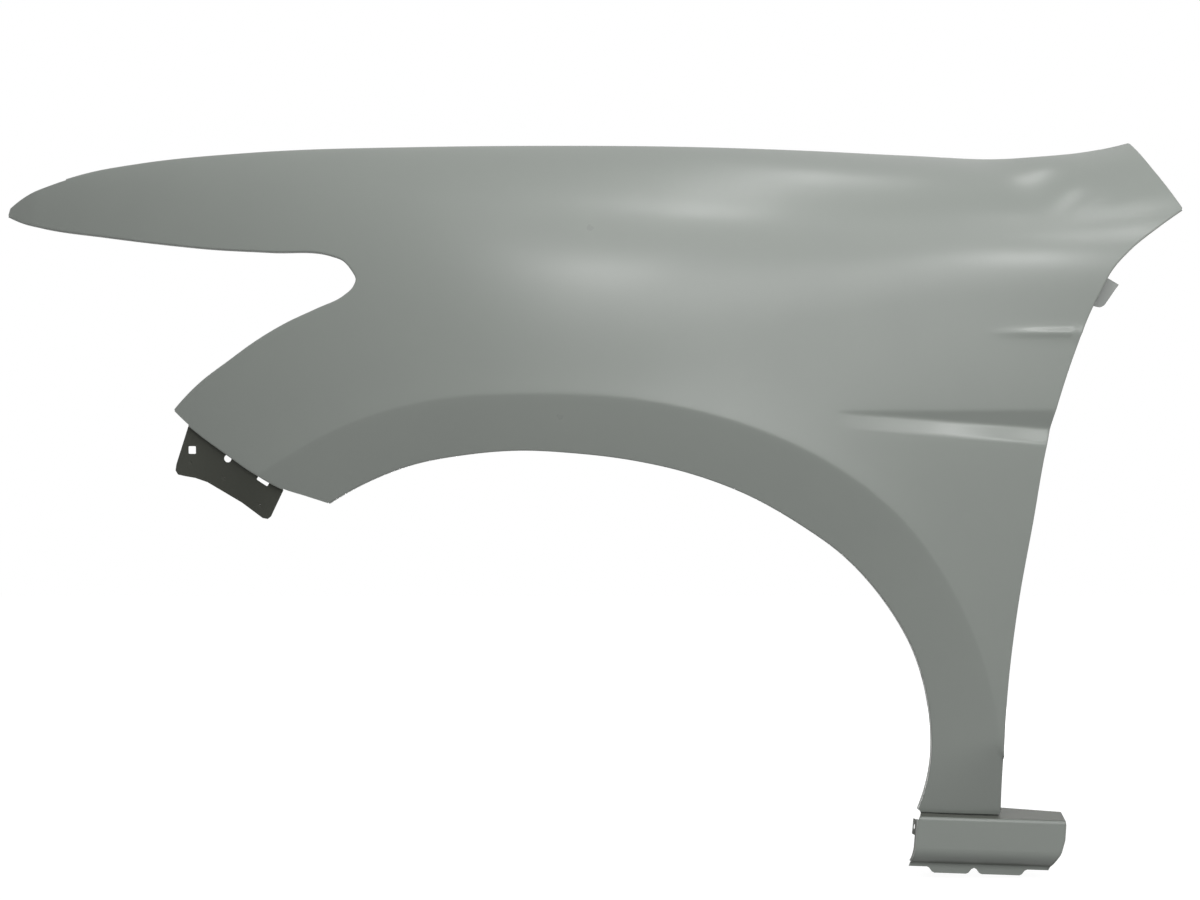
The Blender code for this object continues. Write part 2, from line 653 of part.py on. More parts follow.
def sill_section(ledge, pinch):
    """The sill extension's section in (y, z), from the ledge's inboard edge to its pinch flange's foot."""
    heel, foot_y, _ = foot_point()
    top = heel[1] - FOOT_FOLD - SEAM / math.cos(LEDGE_RISE)
    inboard = ledge - SILL_PROUD
    start = (foot_y + inboard, top + inboard * math.tan(LEDGE_RISE))
    return turtle(start, math.pi + LEDGE_RISE, [
        (ledge / math.cos(LEDGE_RISE), 0.0),
        (SILL_SHOULDER, math.pi / 2 - LEDGE_RISE),
        (TAB_TOP, 0.0),
        (TAB_HEIGHT, 0.0),
        (SILL_FACE - TAB_TOP - TAB_HEIGHT, 0.0),
        (SILL_ROLL, ROLL_TURN),
        (SILL_UNDERSIDE, 0.0),
        (PINCH_FOLD, -ROLL_TURN),
        (pinch, 0.0),
    ])


def sill_columns():
    """Where the columns of the sill extension's grid stand along its foot, with one at each tab corner."""
    front, rear = SILL_FRONT[0][1], SILL_REAR[0][1]
    marks = {mark for a, b in PINCH_TABS for mark in (a, a + PINCH_TAPER, b - PINCH_TAPER, b)}
    line = np.linspace((front, 0.0), (rear, 0.0), DENSE)
    return divide(line, SILL_CELL, [mark - front for mark in marks])[0][:, 0]


def sill_extension():
    """A grid laid along the sill section, with its front end flanged and a tab for the wheel liner."""
    heel, _, slope = foot_point()
    columns = sill_columns()
    rows = len(sill_section(SILL_LEDGE_FRONT, PINCH_SHORT))
    bm = bmesh.new()
    bmesh.ops.create_grid(bm, x_segments=len(columns) - 1, y_segments=rows - 1, size=1.0)
    grid = sorted(bm.verts, key=lambda v: (round(v.co.y, 5), round(v.co.x, 5)))
    shares = np.interp(columns, columns[[0, -1]], (0.0, 1.0))
    for i, (x, along) in enumerate(zip(columns, shares)):
        reach = max(min((x - a) / PINCH_TAPER, (b - x) / PINCH_TAPER, 1.0) for a, b in PINCH_TABS)
        ledge = SILL_LEDGE_FRONT + (SILL_LEDGE_REAR - SILL_LEDGE_FRONT) * along
        section = sill_section(ledge, PINCH_SHORT + (PINCH_LONG - PINCH_SHORT) * max(reach, 0.0))
        front, rear = station(section[:, 1], SILL_FRONT), station(section[:, 1], SILL_REAR)
        for j, (y, z) in enumerate(section):
            across = front[j] + (rear[j] - front[j]) * along
            grid[j * len(columns) + i].co = (across, y, z + slope * (across - heel[0]))
    front = [grid[j * len(columns)] for j in range(SILL_TAB_ROW - 1, rows - 2 - FOLD_STEPS)]
    flange, tab = sill_front_headings()
    places = np.array([v.co for v in front])
    end = extrude_rows(bm, front, [places + SILL_END_FLANGE * flange])
    places = np.array([v.co for v in end[1:3]])
    extrude_rows(bm, end[1:3], [places + TAB_REACH * tab])
    return bm


def sill_front_headings():
    """Which way the sill extension's front flange runs, and the liner tab beyond it."""
    return unit(np.array([-SILL_END_SPLAY, 1.0, 0.0])), unit(np.array([-TAB_SPLAY, 1.0, 0.0]))


def tab_hole_place():
    """The middle of the liner tab, and the direction that its hole runs in."""
    heel, _, slope = foot_point()
    flange, tab = sill_front_headings()
    y, z = sill_section(SILL_LEDGE_FRONT, PINCH_SHORT)[SILL_TAB_ROW : SILL_TAB_ROW + 2].mean(axis=0)
    front = float(station(np.array([z]), SILL_FRONT)[0])
    root = np.array([front, y, z + slope * (front - heel[0])])
    return root + SILL_END_FLANGE * flange + TAB_REACH / 2 * tab, (tab[1], -tab[0], 0.0)


def pillar_bracket():
    """A grid laid along the door edge: one leg welded inside its flange, and one that shows behind it."""
    curve = DOOR_LINE[(DOOR_LINE[:, 1] < BRACKET_TOP) & (DOOR_LINE[:, 1] > BRACKET_BOTTOM)]
    flat = divide(curve, BRACKET_CELL)[0]
    skin = on_skin(flat)
    headings = edge_headings(flat)
    inner = skin + headings * (DOOR_FOLD - SHEET - SEAM)
    moves = [(BRACKET_WELD_LEG, 0.0), (BRACKET_BEND, -math.pi / 2), (BRACKET_LEG, 0.0)]
    path = turtle((0.0, 0.0), math.pi / 2, moves)
    bm = bmesh.new()
    bmesh.ops.create_grid(bm, x_segments=len(flat) - 1, y_segments=len(path) - 1, size=1.0)
    grid = sorted(bm.verts, key=lambda v: (round(v.co.y, 5), round(v.co.x, 5)))
    for i, base in enumerate(inner):
        out = unit(headings[i] * (1.0, 0.0, 1.0))
        low = (len(flat) - 1 - i) * BRACKET_CELL
        trim = (BRACKET_LEG - BRACKET_FOOT_LEG) * i / (len(flat) - 1)
        trim += BRACKET_CORNER - math.sqrt(BRACKET_CORNER**2 - max(BRACKET_CORNER - low, 0.0) ** 2)
        for j, (across, deep) in enumerate(path):
            reach = across - trim if j == len(path) - 1 else across
            grid[j * len(flat) + i].co = base + INBOARD * (deep + DOOR_FOLD + SEAM) + out * reach
    return bm


def primer(name, colour, roughness):
    """A plain painted finish."""
    material = bpy.data.materials.new(name)
    material.use_nodes = True
    shader = material.node_tree.nodes["Principled BSDF"]
    shader.inputs["Base Color"].default_value = colour
    shader.inputs["Roughness"].default_value = roughness
    shader.inputs["Metallic"].default_value = 0.0
    return material


def sheet_object(name, bm, collection, carrier, roughness):
    """Makes an open surface a node: normals outwards, the sheet's thickness inwards and smooth shading."""
    bmesh.ops.recalc_face_normals(bm, faces=bm.faces)
    if sum(face.normal.y * face.calc_area() for face in bm.faces) > 0:
        bmesh.ops.reverse_faces(bm, faces=bm.faces)
    mesh = bpy.data.meshes.new(name)
    bm.to_mesh(mesh)
    bm.free()
    mesh.shade_smooth()
    mesh.set_sharp_from_angle(angle=SHARP_ANGLE)
    obj = bpy.data.objects.new(name, mesh)
    mesh.materials.append(primer(name + "_primer", PRIMER, roughness))
    collection.objects.link(obj)
    obj.parent = carrier
    wall = obj.modifiers.new("sheet", "SOLIDIFY")
    wall.thickness = SHEET
    wall.offset = -1.0
    wall.use_even_offset = True
    return obj


def add_cutter(name, bm, place, direction, collection, carrier):
    """Stands a cutter at a place with its axis along a direction."""
    mesh = bpy.data.meshes.new(name)
    bm.to_mesh(mesh)
    bm.free()
    cutter = bpy.data.objects.new(name, mesh)
    cutter.location = place
    cutter.rotation_euler = Vector(direction).to_track_quat("Z", "Y").to_euler()
    cutter.hide_render = True
    cutter.display_type = "WIRE"
    cutter.parent = carrier
    collection.objects.link(cutter)
    return cutter


def drill(diameter):
    """A round cutter centred on its own origin."""
    bm = bmesh.new()
    size = {"radius1": diameter / 2, "radius2": diameter / 2, "depth": CUTTER_REACH}
    bmesh.ops.create_cone(bm, cap_ends=True, segments=DRILL_SIDES, **size)
    return bm


def punch(length, width):
    """A square-cornered cutter centred on its own origin."""
    bm = bmesh.new()
    bmesh.ops.create_cube(bm, size=1.0)
    bmesh.ops.scale(bm, vec=(length, width, CUTTER_REACH), verts=bm.verts)
    return bm


def cut_holes(obj, collection):
    boolean = obj.modifiers.new("holes", "BOOLEAN")
    boolean.operation = "DIFFERENCE"
    boolean.operand_type = "COLLECTION"
    boolean.collection = collection
    boolean.solver = "EXACT"


def panel_cutters(collection, carrier):
    """Bolt holes in the ledge, liner holes in the arch lip and the three holes of the bumper flange."""
    for i, x in enumerate(pad_places()):
        add_cutter(f"bolt_hole_{i + 1}", drill(BOLT_HOLE), ledge_place(x), (0, 0, 1), collection, carrier)
    curve = smooth_curve(ARCH_EDGE)
    spots = sample(curve, np.linspace(0.0, run_lengths(curve)[-1], LINER_HOLES + 2)[1:-1])
    headings = edge_headings(spots)
    middles = on_skin(spots) + headings * ARCH_FOLD + INBOARD * (ARCH_FOLD + ARCH_LIP / 2)
    for i, (place, heading) in enumerate(zip(middles, headings)):
        add_cutter(f"liner_hole_{i + 1}", drill(LINER_HOLE), place, heading * (1, 0, 1), collection, carrier)
    square, slot = punch(SQUARE_HOLE, SQUARE_HOLE), punch(SLOT_LENGTH, SLOT_WIDTH)
    add_cutter("square_hole", square, flange_place(SQUARE_HOLE_AT), INBOARD, collection, carrier)
    add_cutter("round_hole", drill(ROUND_HOLE), flange_place(ROUND_HOLE_AT), INBOARD, collection, carrier)
    tilted = add_cutter("slot", slot, flange_place(SLOT_AT), INBOARD, collection, carrier)
    tilted.rotation_euler.rotate_axis("Z", SLOT_TILT)


def build():
    clear_scene()
    fender = new_collection("fender")
    panel_holes, sill_holes = new_collection("panel_cutters"), new_collection("sill_cutters")
    origin = ledge_place(pad_places()[ORIGIN_PAD] + ORIGIN_OFF_HOLE)
    carrier = bpy.data.objects.new("panel_frame", None)
    carrier.location = (-origin[0], -origin[1], SHEET - LEDGE_HEIGHT)
    fender.objects.link(carrier)
    panel = sheet_object("outer_panel", outer_panel(), fender, carrier, PANEL_ROUGHNESS)
    panel_cutters(panel_holes, carrier)
    cut_holes(panel, panel_holes)
    sill = sheet_object("sill_extension", sill_extension(), fender, carrier, SILL_ROUGHNESS)
    add_cutter("tab_hole", drill(TAB_HOLE), *tab_hole_place(), sill_holes, carrier)
    cut_holes(sill, sill_holes)
    sheet_object("pillar_bracket", pillar_bracket(), fender, carrier, BRACKET_ROUGHNESS)


build()
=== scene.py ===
"""Looks of a left front fender: drawn steel in grey primer, with a sill extension and a pillar bracket.

Metres. A place on the panel is given as (x, z) in the panel's own frame, where X runs rearwards and Z up
from the wheel's centre, and Y runs inboard from the widest line of the body. The drawn panel is fitted to
its node in the frame, and the other pieces move with it.
"""

from __future__ import annotations

import logging
import math
from dataclasses import dataclass, field
from enum import Enum

import bmesh
import bpy
import numpy as np
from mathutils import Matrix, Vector
from mathutils.geometry import delaunay_2d_cdt
from mathutils.kdtree import KDTree


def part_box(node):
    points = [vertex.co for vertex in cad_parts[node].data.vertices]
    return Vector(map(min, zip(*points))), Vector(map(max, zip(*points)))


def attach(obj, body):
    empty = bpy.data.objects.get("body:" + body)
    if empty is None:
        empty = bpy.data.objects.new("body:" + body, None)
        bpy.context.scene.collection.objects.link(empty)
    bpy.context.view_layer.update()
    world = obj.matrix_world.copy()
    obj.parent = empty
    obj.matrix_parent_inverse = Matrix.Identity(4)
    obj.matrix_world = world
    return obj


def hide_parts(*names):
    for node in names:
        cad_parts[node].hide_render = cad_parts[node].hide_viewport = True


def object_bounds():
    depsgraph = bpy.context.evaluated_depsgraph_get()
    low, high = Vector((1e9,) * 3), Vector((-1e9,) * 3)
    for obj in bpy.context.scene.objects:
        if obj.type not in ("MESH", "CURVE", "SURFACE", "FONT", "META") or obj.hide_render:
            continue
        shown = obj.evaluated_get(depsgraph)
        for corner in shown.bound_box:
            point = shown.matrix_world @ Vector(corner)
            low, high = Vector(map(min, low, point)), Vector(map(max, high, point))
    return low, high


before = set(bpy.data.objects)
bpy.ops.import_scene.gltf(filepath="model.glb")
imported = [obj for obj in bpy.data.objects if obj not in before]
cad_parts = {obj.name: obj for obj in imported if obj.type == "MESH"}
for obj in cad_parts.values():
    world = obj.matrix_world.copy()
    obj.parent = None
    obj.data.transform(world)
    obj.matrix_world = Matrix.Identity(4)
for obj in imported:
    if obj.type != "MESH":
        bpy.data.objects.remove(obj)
CAD_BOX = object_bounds()

LOG = logging.getLogger("fender")

Knot = tuple[float, float]
Knots = tuple[Knot, ...]
Path = list[np.ndarray]

# Sheet metal, as the solids have it
SHEET = 0.0008
SEAM = 0.0003

# Fineness of the finished surfaces
CELL = 0.006
MOST_TURN = math.radians(5)
FOLD_STEPS = 6
SUPPORT = 0.0008  # a row this far past a fold keeps its shading off the flat beside it
DENSE = 60  # samples between two knots of a curve
PROBE = 0.0004  # step over which slopes are measured
CHUNK = 2000  # places that are measured against a curve at a time
SMOOTH_ANGLE = math.radians(40)
CUTTER_REACH = 0.012
DRILL_SIDES = 40

INBOARD = np.array([0.0, 1.0, 0.0])

# Finish
UNDERCOAT_SHADE_MASK = "undercoat_and_shade"  # the attribute that says how dark a place is painted: partly under-coat, partly painted shade on set-back flanges and faces turned from outboard
UNDERCOAT_SHADE_WRAP = 0.002  # how far behind the drawn surface the darkening starts, for a thinner coat there and as painted shade on the set-back flanges
CLOUD_DETAIL = 4.0
GRAIN_DETAIL = 2.0
SOCKET_TYPES = {"Colour": "NodeSocketColor", "Shade": "NodeSocketColor", "Undercoat and shade colour": "NodeSocketColor"}


class Edge(Enum):
    """Edges of the drawn panel, clockwise seen from outside."""

    BONNET = "bonnet"
    WINDSCREEN = "windscreen"
    DOOR = "door"
    FOOT = "foot"
    ARCH = "arch"
    BUMPER = "bumper"
    LAMP = "lamp"
    NOSE = "nose"


class DarkShare(Enum):
    """How strongly the dark colour shows where the mask is full: partly under-coat, partly painted shade."""

    BARE = 0.95
    MILD = 0.85


def hermite(at: np.ndarray, knots_at: np.ndarray, values: np.ndarray) -> np.ndarray:
    """Smooth values through knots, with the slopes of a parabola through each three.

    Args:
        at: Places to read the curve at.
        knots_at: Places of the knots, rising.
        values: A value or a row of values at each knot.

    Returns:
        The curve's values at the places.
    """
    slopes = np.gradient(values, knots_at, axis=0, edge_order=2 if len(knots_at) > 2 else 1)
    index = np.clip(np.searchsorted(knots_at, at, side="right") - 1, 0, len(knots_at) - 2)
    span = knots_at[index + 1] - knots_at[index]
    t = (at - knots_at[index]) / span
    if values.ndim == 2:
        t, span = t[:, None], span[:, None]
    return (
        (2 * t**3 - 3 * t**2 + 1) * values[index]
        + (t**3 - 2 * t**2 + t) * span * slopes[index]
        + (3 * t**2 - 2 * t**3) * values[index + 1]
        + (t**3 - t**2) * span * slopes[index + 1]
    )


def run_lengths(points: np.ndarray) -> np.ndarray:
    """Distance along a line of points at each of them."""
    return np.concatenate([[0.0], np.cumsum(np.linalg.norm(np.diff(points, axis=0), axis=1))])


def smooth_curve(knots: Knots) -> np.ndarray:
    """A dense line of points on a smooth curve through the knots."""
    places = np.array(knots, float)
    chord = run_lengths(places)
    return hermite(np.linspace(0.0, chord[-1], DENSE * len(places)), chord, places)


def sample(curve: np.ndarray, places: np.ndarray) -> np.ndarray:
    """Points at the given distances along a line of points."""
    run = run_lengths(curve)
    return np.stack([np.interp(places, run, axis) for axis in curve.T], axis=1)


def divide(curve: np.ndarray, step: float, stops: tuple[float, ...] = ()) -> tuple[np.ndarray, np.ndarray]:
    """Divides a curve about a step apart, and closer where it bends.

    Args:
        curve: A dense line of points.
        step: The distance between two of its divisions where it is straight.
        stops: Distances along it at which a division has to stand.

    Returns:
        The divisions, and their distances along the curve.
    """
    run = run_lengths(curve)
    along = np.diff(curve, axis=0) / np.diff(run)[:, None]
    turns = np.arccos(np.clip((along[1:] * along[:-1]).sum(axis=1), -1.0, 1.0))
    effort = run / step + np.concatenate([[0.0], np.cumsum(turns), [turns.sum()]]) / MOST_TURN
    marks = np.interp([0.0, *sorted(stops), run[-1]], run, effort)
    parts = [np.linspace(a, b, max(1, round(b - a)), endpoint=False) for a, b in zip(marks, marks[1:])]
    places = np.interp(np.concatenate([*parts, marks[-1:]]), effort, run)
    return sample(curve, places), places


def place_on(curve: np.ndarray, point: Knot) -> float:
    """Distance along a dense curve of its sample nearest to a point."""
    return float(run_lengths(curve)[np.linalg.norm(curve - np.array(point), axis=1).argmin()])


def place_at_x(curve: np.ndarray, x: float) -> float:
    """Distance along a dense curve at which it reaches x."""
    return float(run_lengths(curve)[np.abs(curve[:, 0] - x).argmin()])


def station(x: np.ndarray, table: Knots) -> np.ndarray:
    """The value at x of a smooth curve through a table of (x, value) stations."""
    places = np.array(table)
    return hermite(np.clip(x, places[0, 0], places[-1, 0]), places[:, 0], places[:, 1])


def ramp(t: np.ndarray, blend: float) -> np.ndarray:
    """0 for negative t and t for positive t, rounded over the blend."""
    return (np.sqrt(t * t + blend * blend) + t) / 2


def ease(t: np.ndarray) -> np.ndarray:
    """0 to 1 as t goes from 0 to 1, with level, straight ends."""
    t = np.clip(t, 0.0, 1.0)
    return t**3 * (t * (6 * t - 15) + 10)


def unit(vectors: np.ndarray) -> np.ndarray:
    """The vectors at a length of 1."""
    return vectors / np.linalg.norm(vectors, axis=-1, keepdims=True)


def nearest_on(points: np.ndarray, line: np.ndarray) -> tuple[np.ndarray, np.ndarray]:
    """Measures points against a line in the same plane.

    Args:
        points: Places as (x, z) rows.
        line: A line of (x, z) points.

    Returns:
        Each point's distance from the line, and 1 or -1 for the side of it that the point lies on.
    """
    start, along = line[:-1], np.diff(line, axis=0)
    lengths = (along * along).sum(1)
    distance, side = np.empty(len(points)), np.empty(len(points))
    for first in range(0, len(points), CHUNK):
        offset = points[first : first + CHUNK, None, :] - start
        t = np.clip((offset * along).sum(2) / lengths, 0.0, 1.0)
        gaps = np.linalg.norm(offset - t[..., None] * along, axis=2)
        nearest, row = gaps.argmin(axis=1), np.arange(len(gaps))
        found = offset[row, nearest]
        distance[first : first + CHUNK] = gaps[row, nearest]
        ahead = along[nearest]
        side[first : first + CHUNK] = np.sign(ahead[:, 0] * found[:, 1] - ahead[:, 1] * found[:, 0])
    return distance, side


def inside(points: np.ndarray, loop: np.ndarray) -> np.ndarray:
    """Which points lie inside a closed loop."""
    ax, az = loop.T
    bx, bz = np.roll(loop, -1, axis=0).T
    slope = (bx - ax) / np.where(bz == az, 1.0, bz - az)
    kept = np.empty(len(points), bool)
    for first in range(0, len(points), CHUNK):
        x, z = points[first : first + CHUNK, 0, None], points[first : first + CHUNK, 1, None]
        crossed = ((az > z) != (bz > z)) & (x < ax + (z - az) * slope)
        kept[first : first + CHUNK] = crossed.sum(axis=1) % 2 == 1
    return kept


def bend(
    points: np.ndarray, heading: np.ndarray, target: np.ndarray, radius: float, length: float | np.ndarray
) -> Path:
    """Rows of points that turn from one direction to another on a radius, then run straight.

    Args:
        points: Where the bend starts, a row for each point.
        heading: The direction in which the sheet arrives at each point.
        target: The direction that it turns to.
        radius: The bend's radius.
        length: How far it runs on, one for all or one for each point.

    Returns:
        The rows of the bend, one that supports its shading, and the last one.
    """
    target = np.broadcast_to(target, heading.shape)
    cosine = (heading * target).sum(axis=1, keepdims=True)
    angle = np.arccos(np.clip(cosine, -1.0, 1.0))
    towards = unit(target - heading * cosine)
    rows = []
    for step in range(1, FOLD_STEPS + 1):
        turned = angle * step / FOLD_STEPS
        rows.append(points + radius * (heading * np.sin(turned) + towards * (1 - np.cos(turned))))
    foot = rows[-1]
    rows.append(foot + target * SUPPORT)
    rows.append(foot + target * np.reshape(length, (-1, 1)))
    return rows


def turtle(start: Knot, heading: float, moves: list[tuple[float, float]]) -> np.ndarray:
    """Draws a flat path.

    Args:
        start: Its first point.
        heading: The direction in which it sets out, in radians.
        moves: Pairs of a length and 0 for a straight run, or of a radius and an angle for a turn.

    Returns:
        Its points, with a supporting one at each end of each straight run.
    """
    points = [np.array(start, float)]
    for length, angle in moves:
        if angle == 0.0:
            ahead = np.array([math.cos(heading), math.sin(heading)])
            shares = [s for s in (SUPPORT, length - SUPPORT) if SUPPORT < length - SUPPORT] + [length]
            points += [points[-1] + share * ahead for share in shares]
            continue
        side = math.copysign(1.0, angle)
        centre = points[-1] + length * side * np.array([-math.sin(heading), math.cos(heading)])
        for i in range(1, FOLD_STEPS + 1):
            turned = heading + angle * i / FOLD_STEPS
            points.append(centre + length * side * np.array([math.sin(turned), -math.cos(turned)]))
        heading += angle
    return np.array(points)


def deselect() -> None:
    """Leaves nothing selected, in object mode."""
    if bpy.context.object and bpy.context.object.mode != "OBJECT":
        bpy.ops.object.mode_set(mode="OBJECT")
    bpy.ops.object.select_all(action="DESELECT")


def take(obj: bpy.types.Object) -> None:
    """Makes an object the only selected one, and the active one."""
    deselect()
    obj.select_set(True)
    bpy.context.view_layer.objects.active = obj


def new_grid(name: str, columns: int, rows: int) -> bpy.types.Object:
    """Adds a grid whose vertices are then placed one by one.

    Args:
        name: The object's name.
        columns: How many vertices stand side by side.
        rows: How many rows of them there are.

    Returns:
        The grid, with its vertices in order along each row, row after row.
    """
    deselect()
    bpy.ops.mesh.primitive_grid_add(x_subdivisions=columns - 1, y_subdivisions=rows - 1, size=2.0)
    obj = bpy.context.object
    obj.name = obj.data.name = name
    return obj


def place_grid(obj: bpy.types.Object, places: np.ndarray) -> None:
    """Puts the vertices of a new grid at their places, given as rows of columns of points."""
    obj.data.vertices.foreach_set("co", places.reshape(-1).astype(np.float32))
    obj.data.update()


def extrude_chain(obj: bpy.types.Object, chain: list[int], rows: Path) -> list[int]:
    """Extrudes a chain of boundary vertices through rows of places.

    Args:
        obj: The open sheet that the chain belongs to.
        chain: Indices of its vertices, in order.
        rows: Where each row of new vertices goes.

    Returns:
        The indices of the last row's vertices.
    """
    take(obj)
    bpy.ops.object.mode_set(mode="EDIT")
    bpy.ops.mesh.select_mode(type="EDGE")
    for row in rows:
        bpy.ops.mesh.select_all(action="DESELECT")
        net = bmesh.from_edit_mesh(obj.data)
        net.verts.ensure_lookup_table()
        for a, b in zip(chain, chain[1:]):
            net.edges.get((net.verts[a], net.verts[b])).select_set(True)
        first_new = len(net.verts)
        bpy.ops.mesh.extrude_edges_indiv()
        net = bmesh.from_edit_mesh(obj.data)
        net.verts.ensure_lookup_table()
        net.verts.index_update()
        fresh = []
        for index, place in zip(chain, row):
            vertex = net.verts[index]
            joined = [edge.other_vert(vertex) for edge in vertex.link_edges]
            beyond = next(other for other in joined if other.index >= first_new)
            beyond.co = place
            fresh.append(beyond.index)
        chain = fresh
    bmesh.update_edit_mesh(obj.data)
    bpy.ops.object.mode_set(mode="OBJECT")
    return chain


def thicken(obj: bpy.types.Object) -> None:
    """Turns an open sheet's faces outwards and gives it its thickness on the inner side."""
    take(obj)
    bpy.ops.object.mode_set(mode="EDIT")
    bpy.ops.mesh.select_all(action="SELECT")
    bpy.ops.mesh.normals_make_consistent(inside=False)
    bpy.ops.object.mode_set(mode="OBJECT")
    if sum(face.normal.y * face.area for face in obj.data.polygons) > 0:
        bpy.ops.object.mode_set(mode="EDIT")
        bpy.ops.mesh.flip_normals()
        bpy.ops.object.mode_set(mode="OBJECT")
    bpy.ops.object.modifier_add(type="SOLIDIFY")
    wall = obj.modifiers[-1]
    wall.thickness, wall.offset, wall.use_even_offset = SHEET, -1.0, True
    bpy.ops.object.modifier_apply(modifier=wall.name)


def stand(place: np.ndarray, direction: np.ndarray, spin: float = 0.0) -> None:
    """Stands the active object at a place with its axis along a direction, turned about it by the spin."""
    obj = bpy.context.object
    obj.location = place
    obj.rotation_euler = Vector(direction).to_track_quat("Z", "Y").to_euler()
    obj.rotation_euler.rotate_axis("Z", spin)


def add_drill(place: np.ndarray, direction: np.ndarray, diameter: float) -> bpy.types.Object:
    """Adds a round cutter through a place."""
    bpy.ops.mesh.primitive_cylinder_add(vertices=DRILL_SIDES, radius=diameter / 2, depth=CUTTER_REACH)
    stand(place, direction)
    return bpy.context.object


def add_punch(place: np.ndarray, size: Knot, corner: float, spin: float = 0.0) -> bpy.types.Object:
    """Adds a cutter for a hole with rounded corners in a face that looks outboard.

    Args:
        place: The middle of the hole.
        size: Its length and its width.
        corner: The radius of its corners.
        spin: How far it is turned in the face.

    Returns:
        The cutter.
    """
    bpy.ops.mesh.primitive_cube_add(size=1.0)
    obj = bpy.context.object
    obj.scale = (size[0], size[1], CUTTER_REACH)
    bpy.ops.object.transform_apply(location=False, rotation=False, scale=True)
    bpy.ops.object.mode_set(mode="EDIT")
    bpy.ops.mesh.select_mode(type="EDGE")
    bpy.ops.mesh.select_all(action="DESELECT")
    net = bmesh.from_edit_mesh(obj.data)
    for edge in net.edges:
        edge.select_set(abs(edge.verts[0].co.z - edge.verts[1].co.z) > CUTTER_REACH / 2)
    bmesh.update_edit_mesh(obj.data)
    bpy.ops.mesh.bevel(offset=corner, segments=FOLD_STEPS, affect="EDGES")
    bpy.ops.object.mode_set(mode="OBJECT")
    stand(place, INBOARD, spin)
    return obj


def add_dent(place: np.ndarray, direction: np.ndarray, diameter: float, sunk: float) -> bpy.types.Object:
    """Adds a cutter that leaves the shallow round dent of a spot weld."""
    bpy.ops.mesh.primitive_uv_sphere_add(segments=DRILL_SIDES, ring_count=DRILL_SIDES // 2, radius=1.0)
    obj = bpy.context.object
    obj.scale = (diameter / 2, diameter / 2, sunk)
    bpy.ops.object.transform_apply(location=False, rotation=False, scale=True)
    stand(place, direction)
    return obj


def cut(obj: bpy.types.Object, cutters: list[bpy.types.Object]) -> None:
    """Takes the cutters out of a piece, and removes them."""
    take(cutters[0])
    for cutter in cutters:
        cutter.select_set(True)
    if len(cutters) > 1:
        bpy.ops.object.join()
    tool = bpy.context.object
    take(obj)
    bpy.ops.object.modifier_add(type="BOOLEAN")
    holes = obj.modifiers[-1]
    holes.operation, holes.solver, holes.object = "DIFFERENCE", "EXACT", tool
    bpy.ops.object.modifier_apply(modifier=holes.name)
    bpy.data.objects.remove(tool, do_unlink=True)


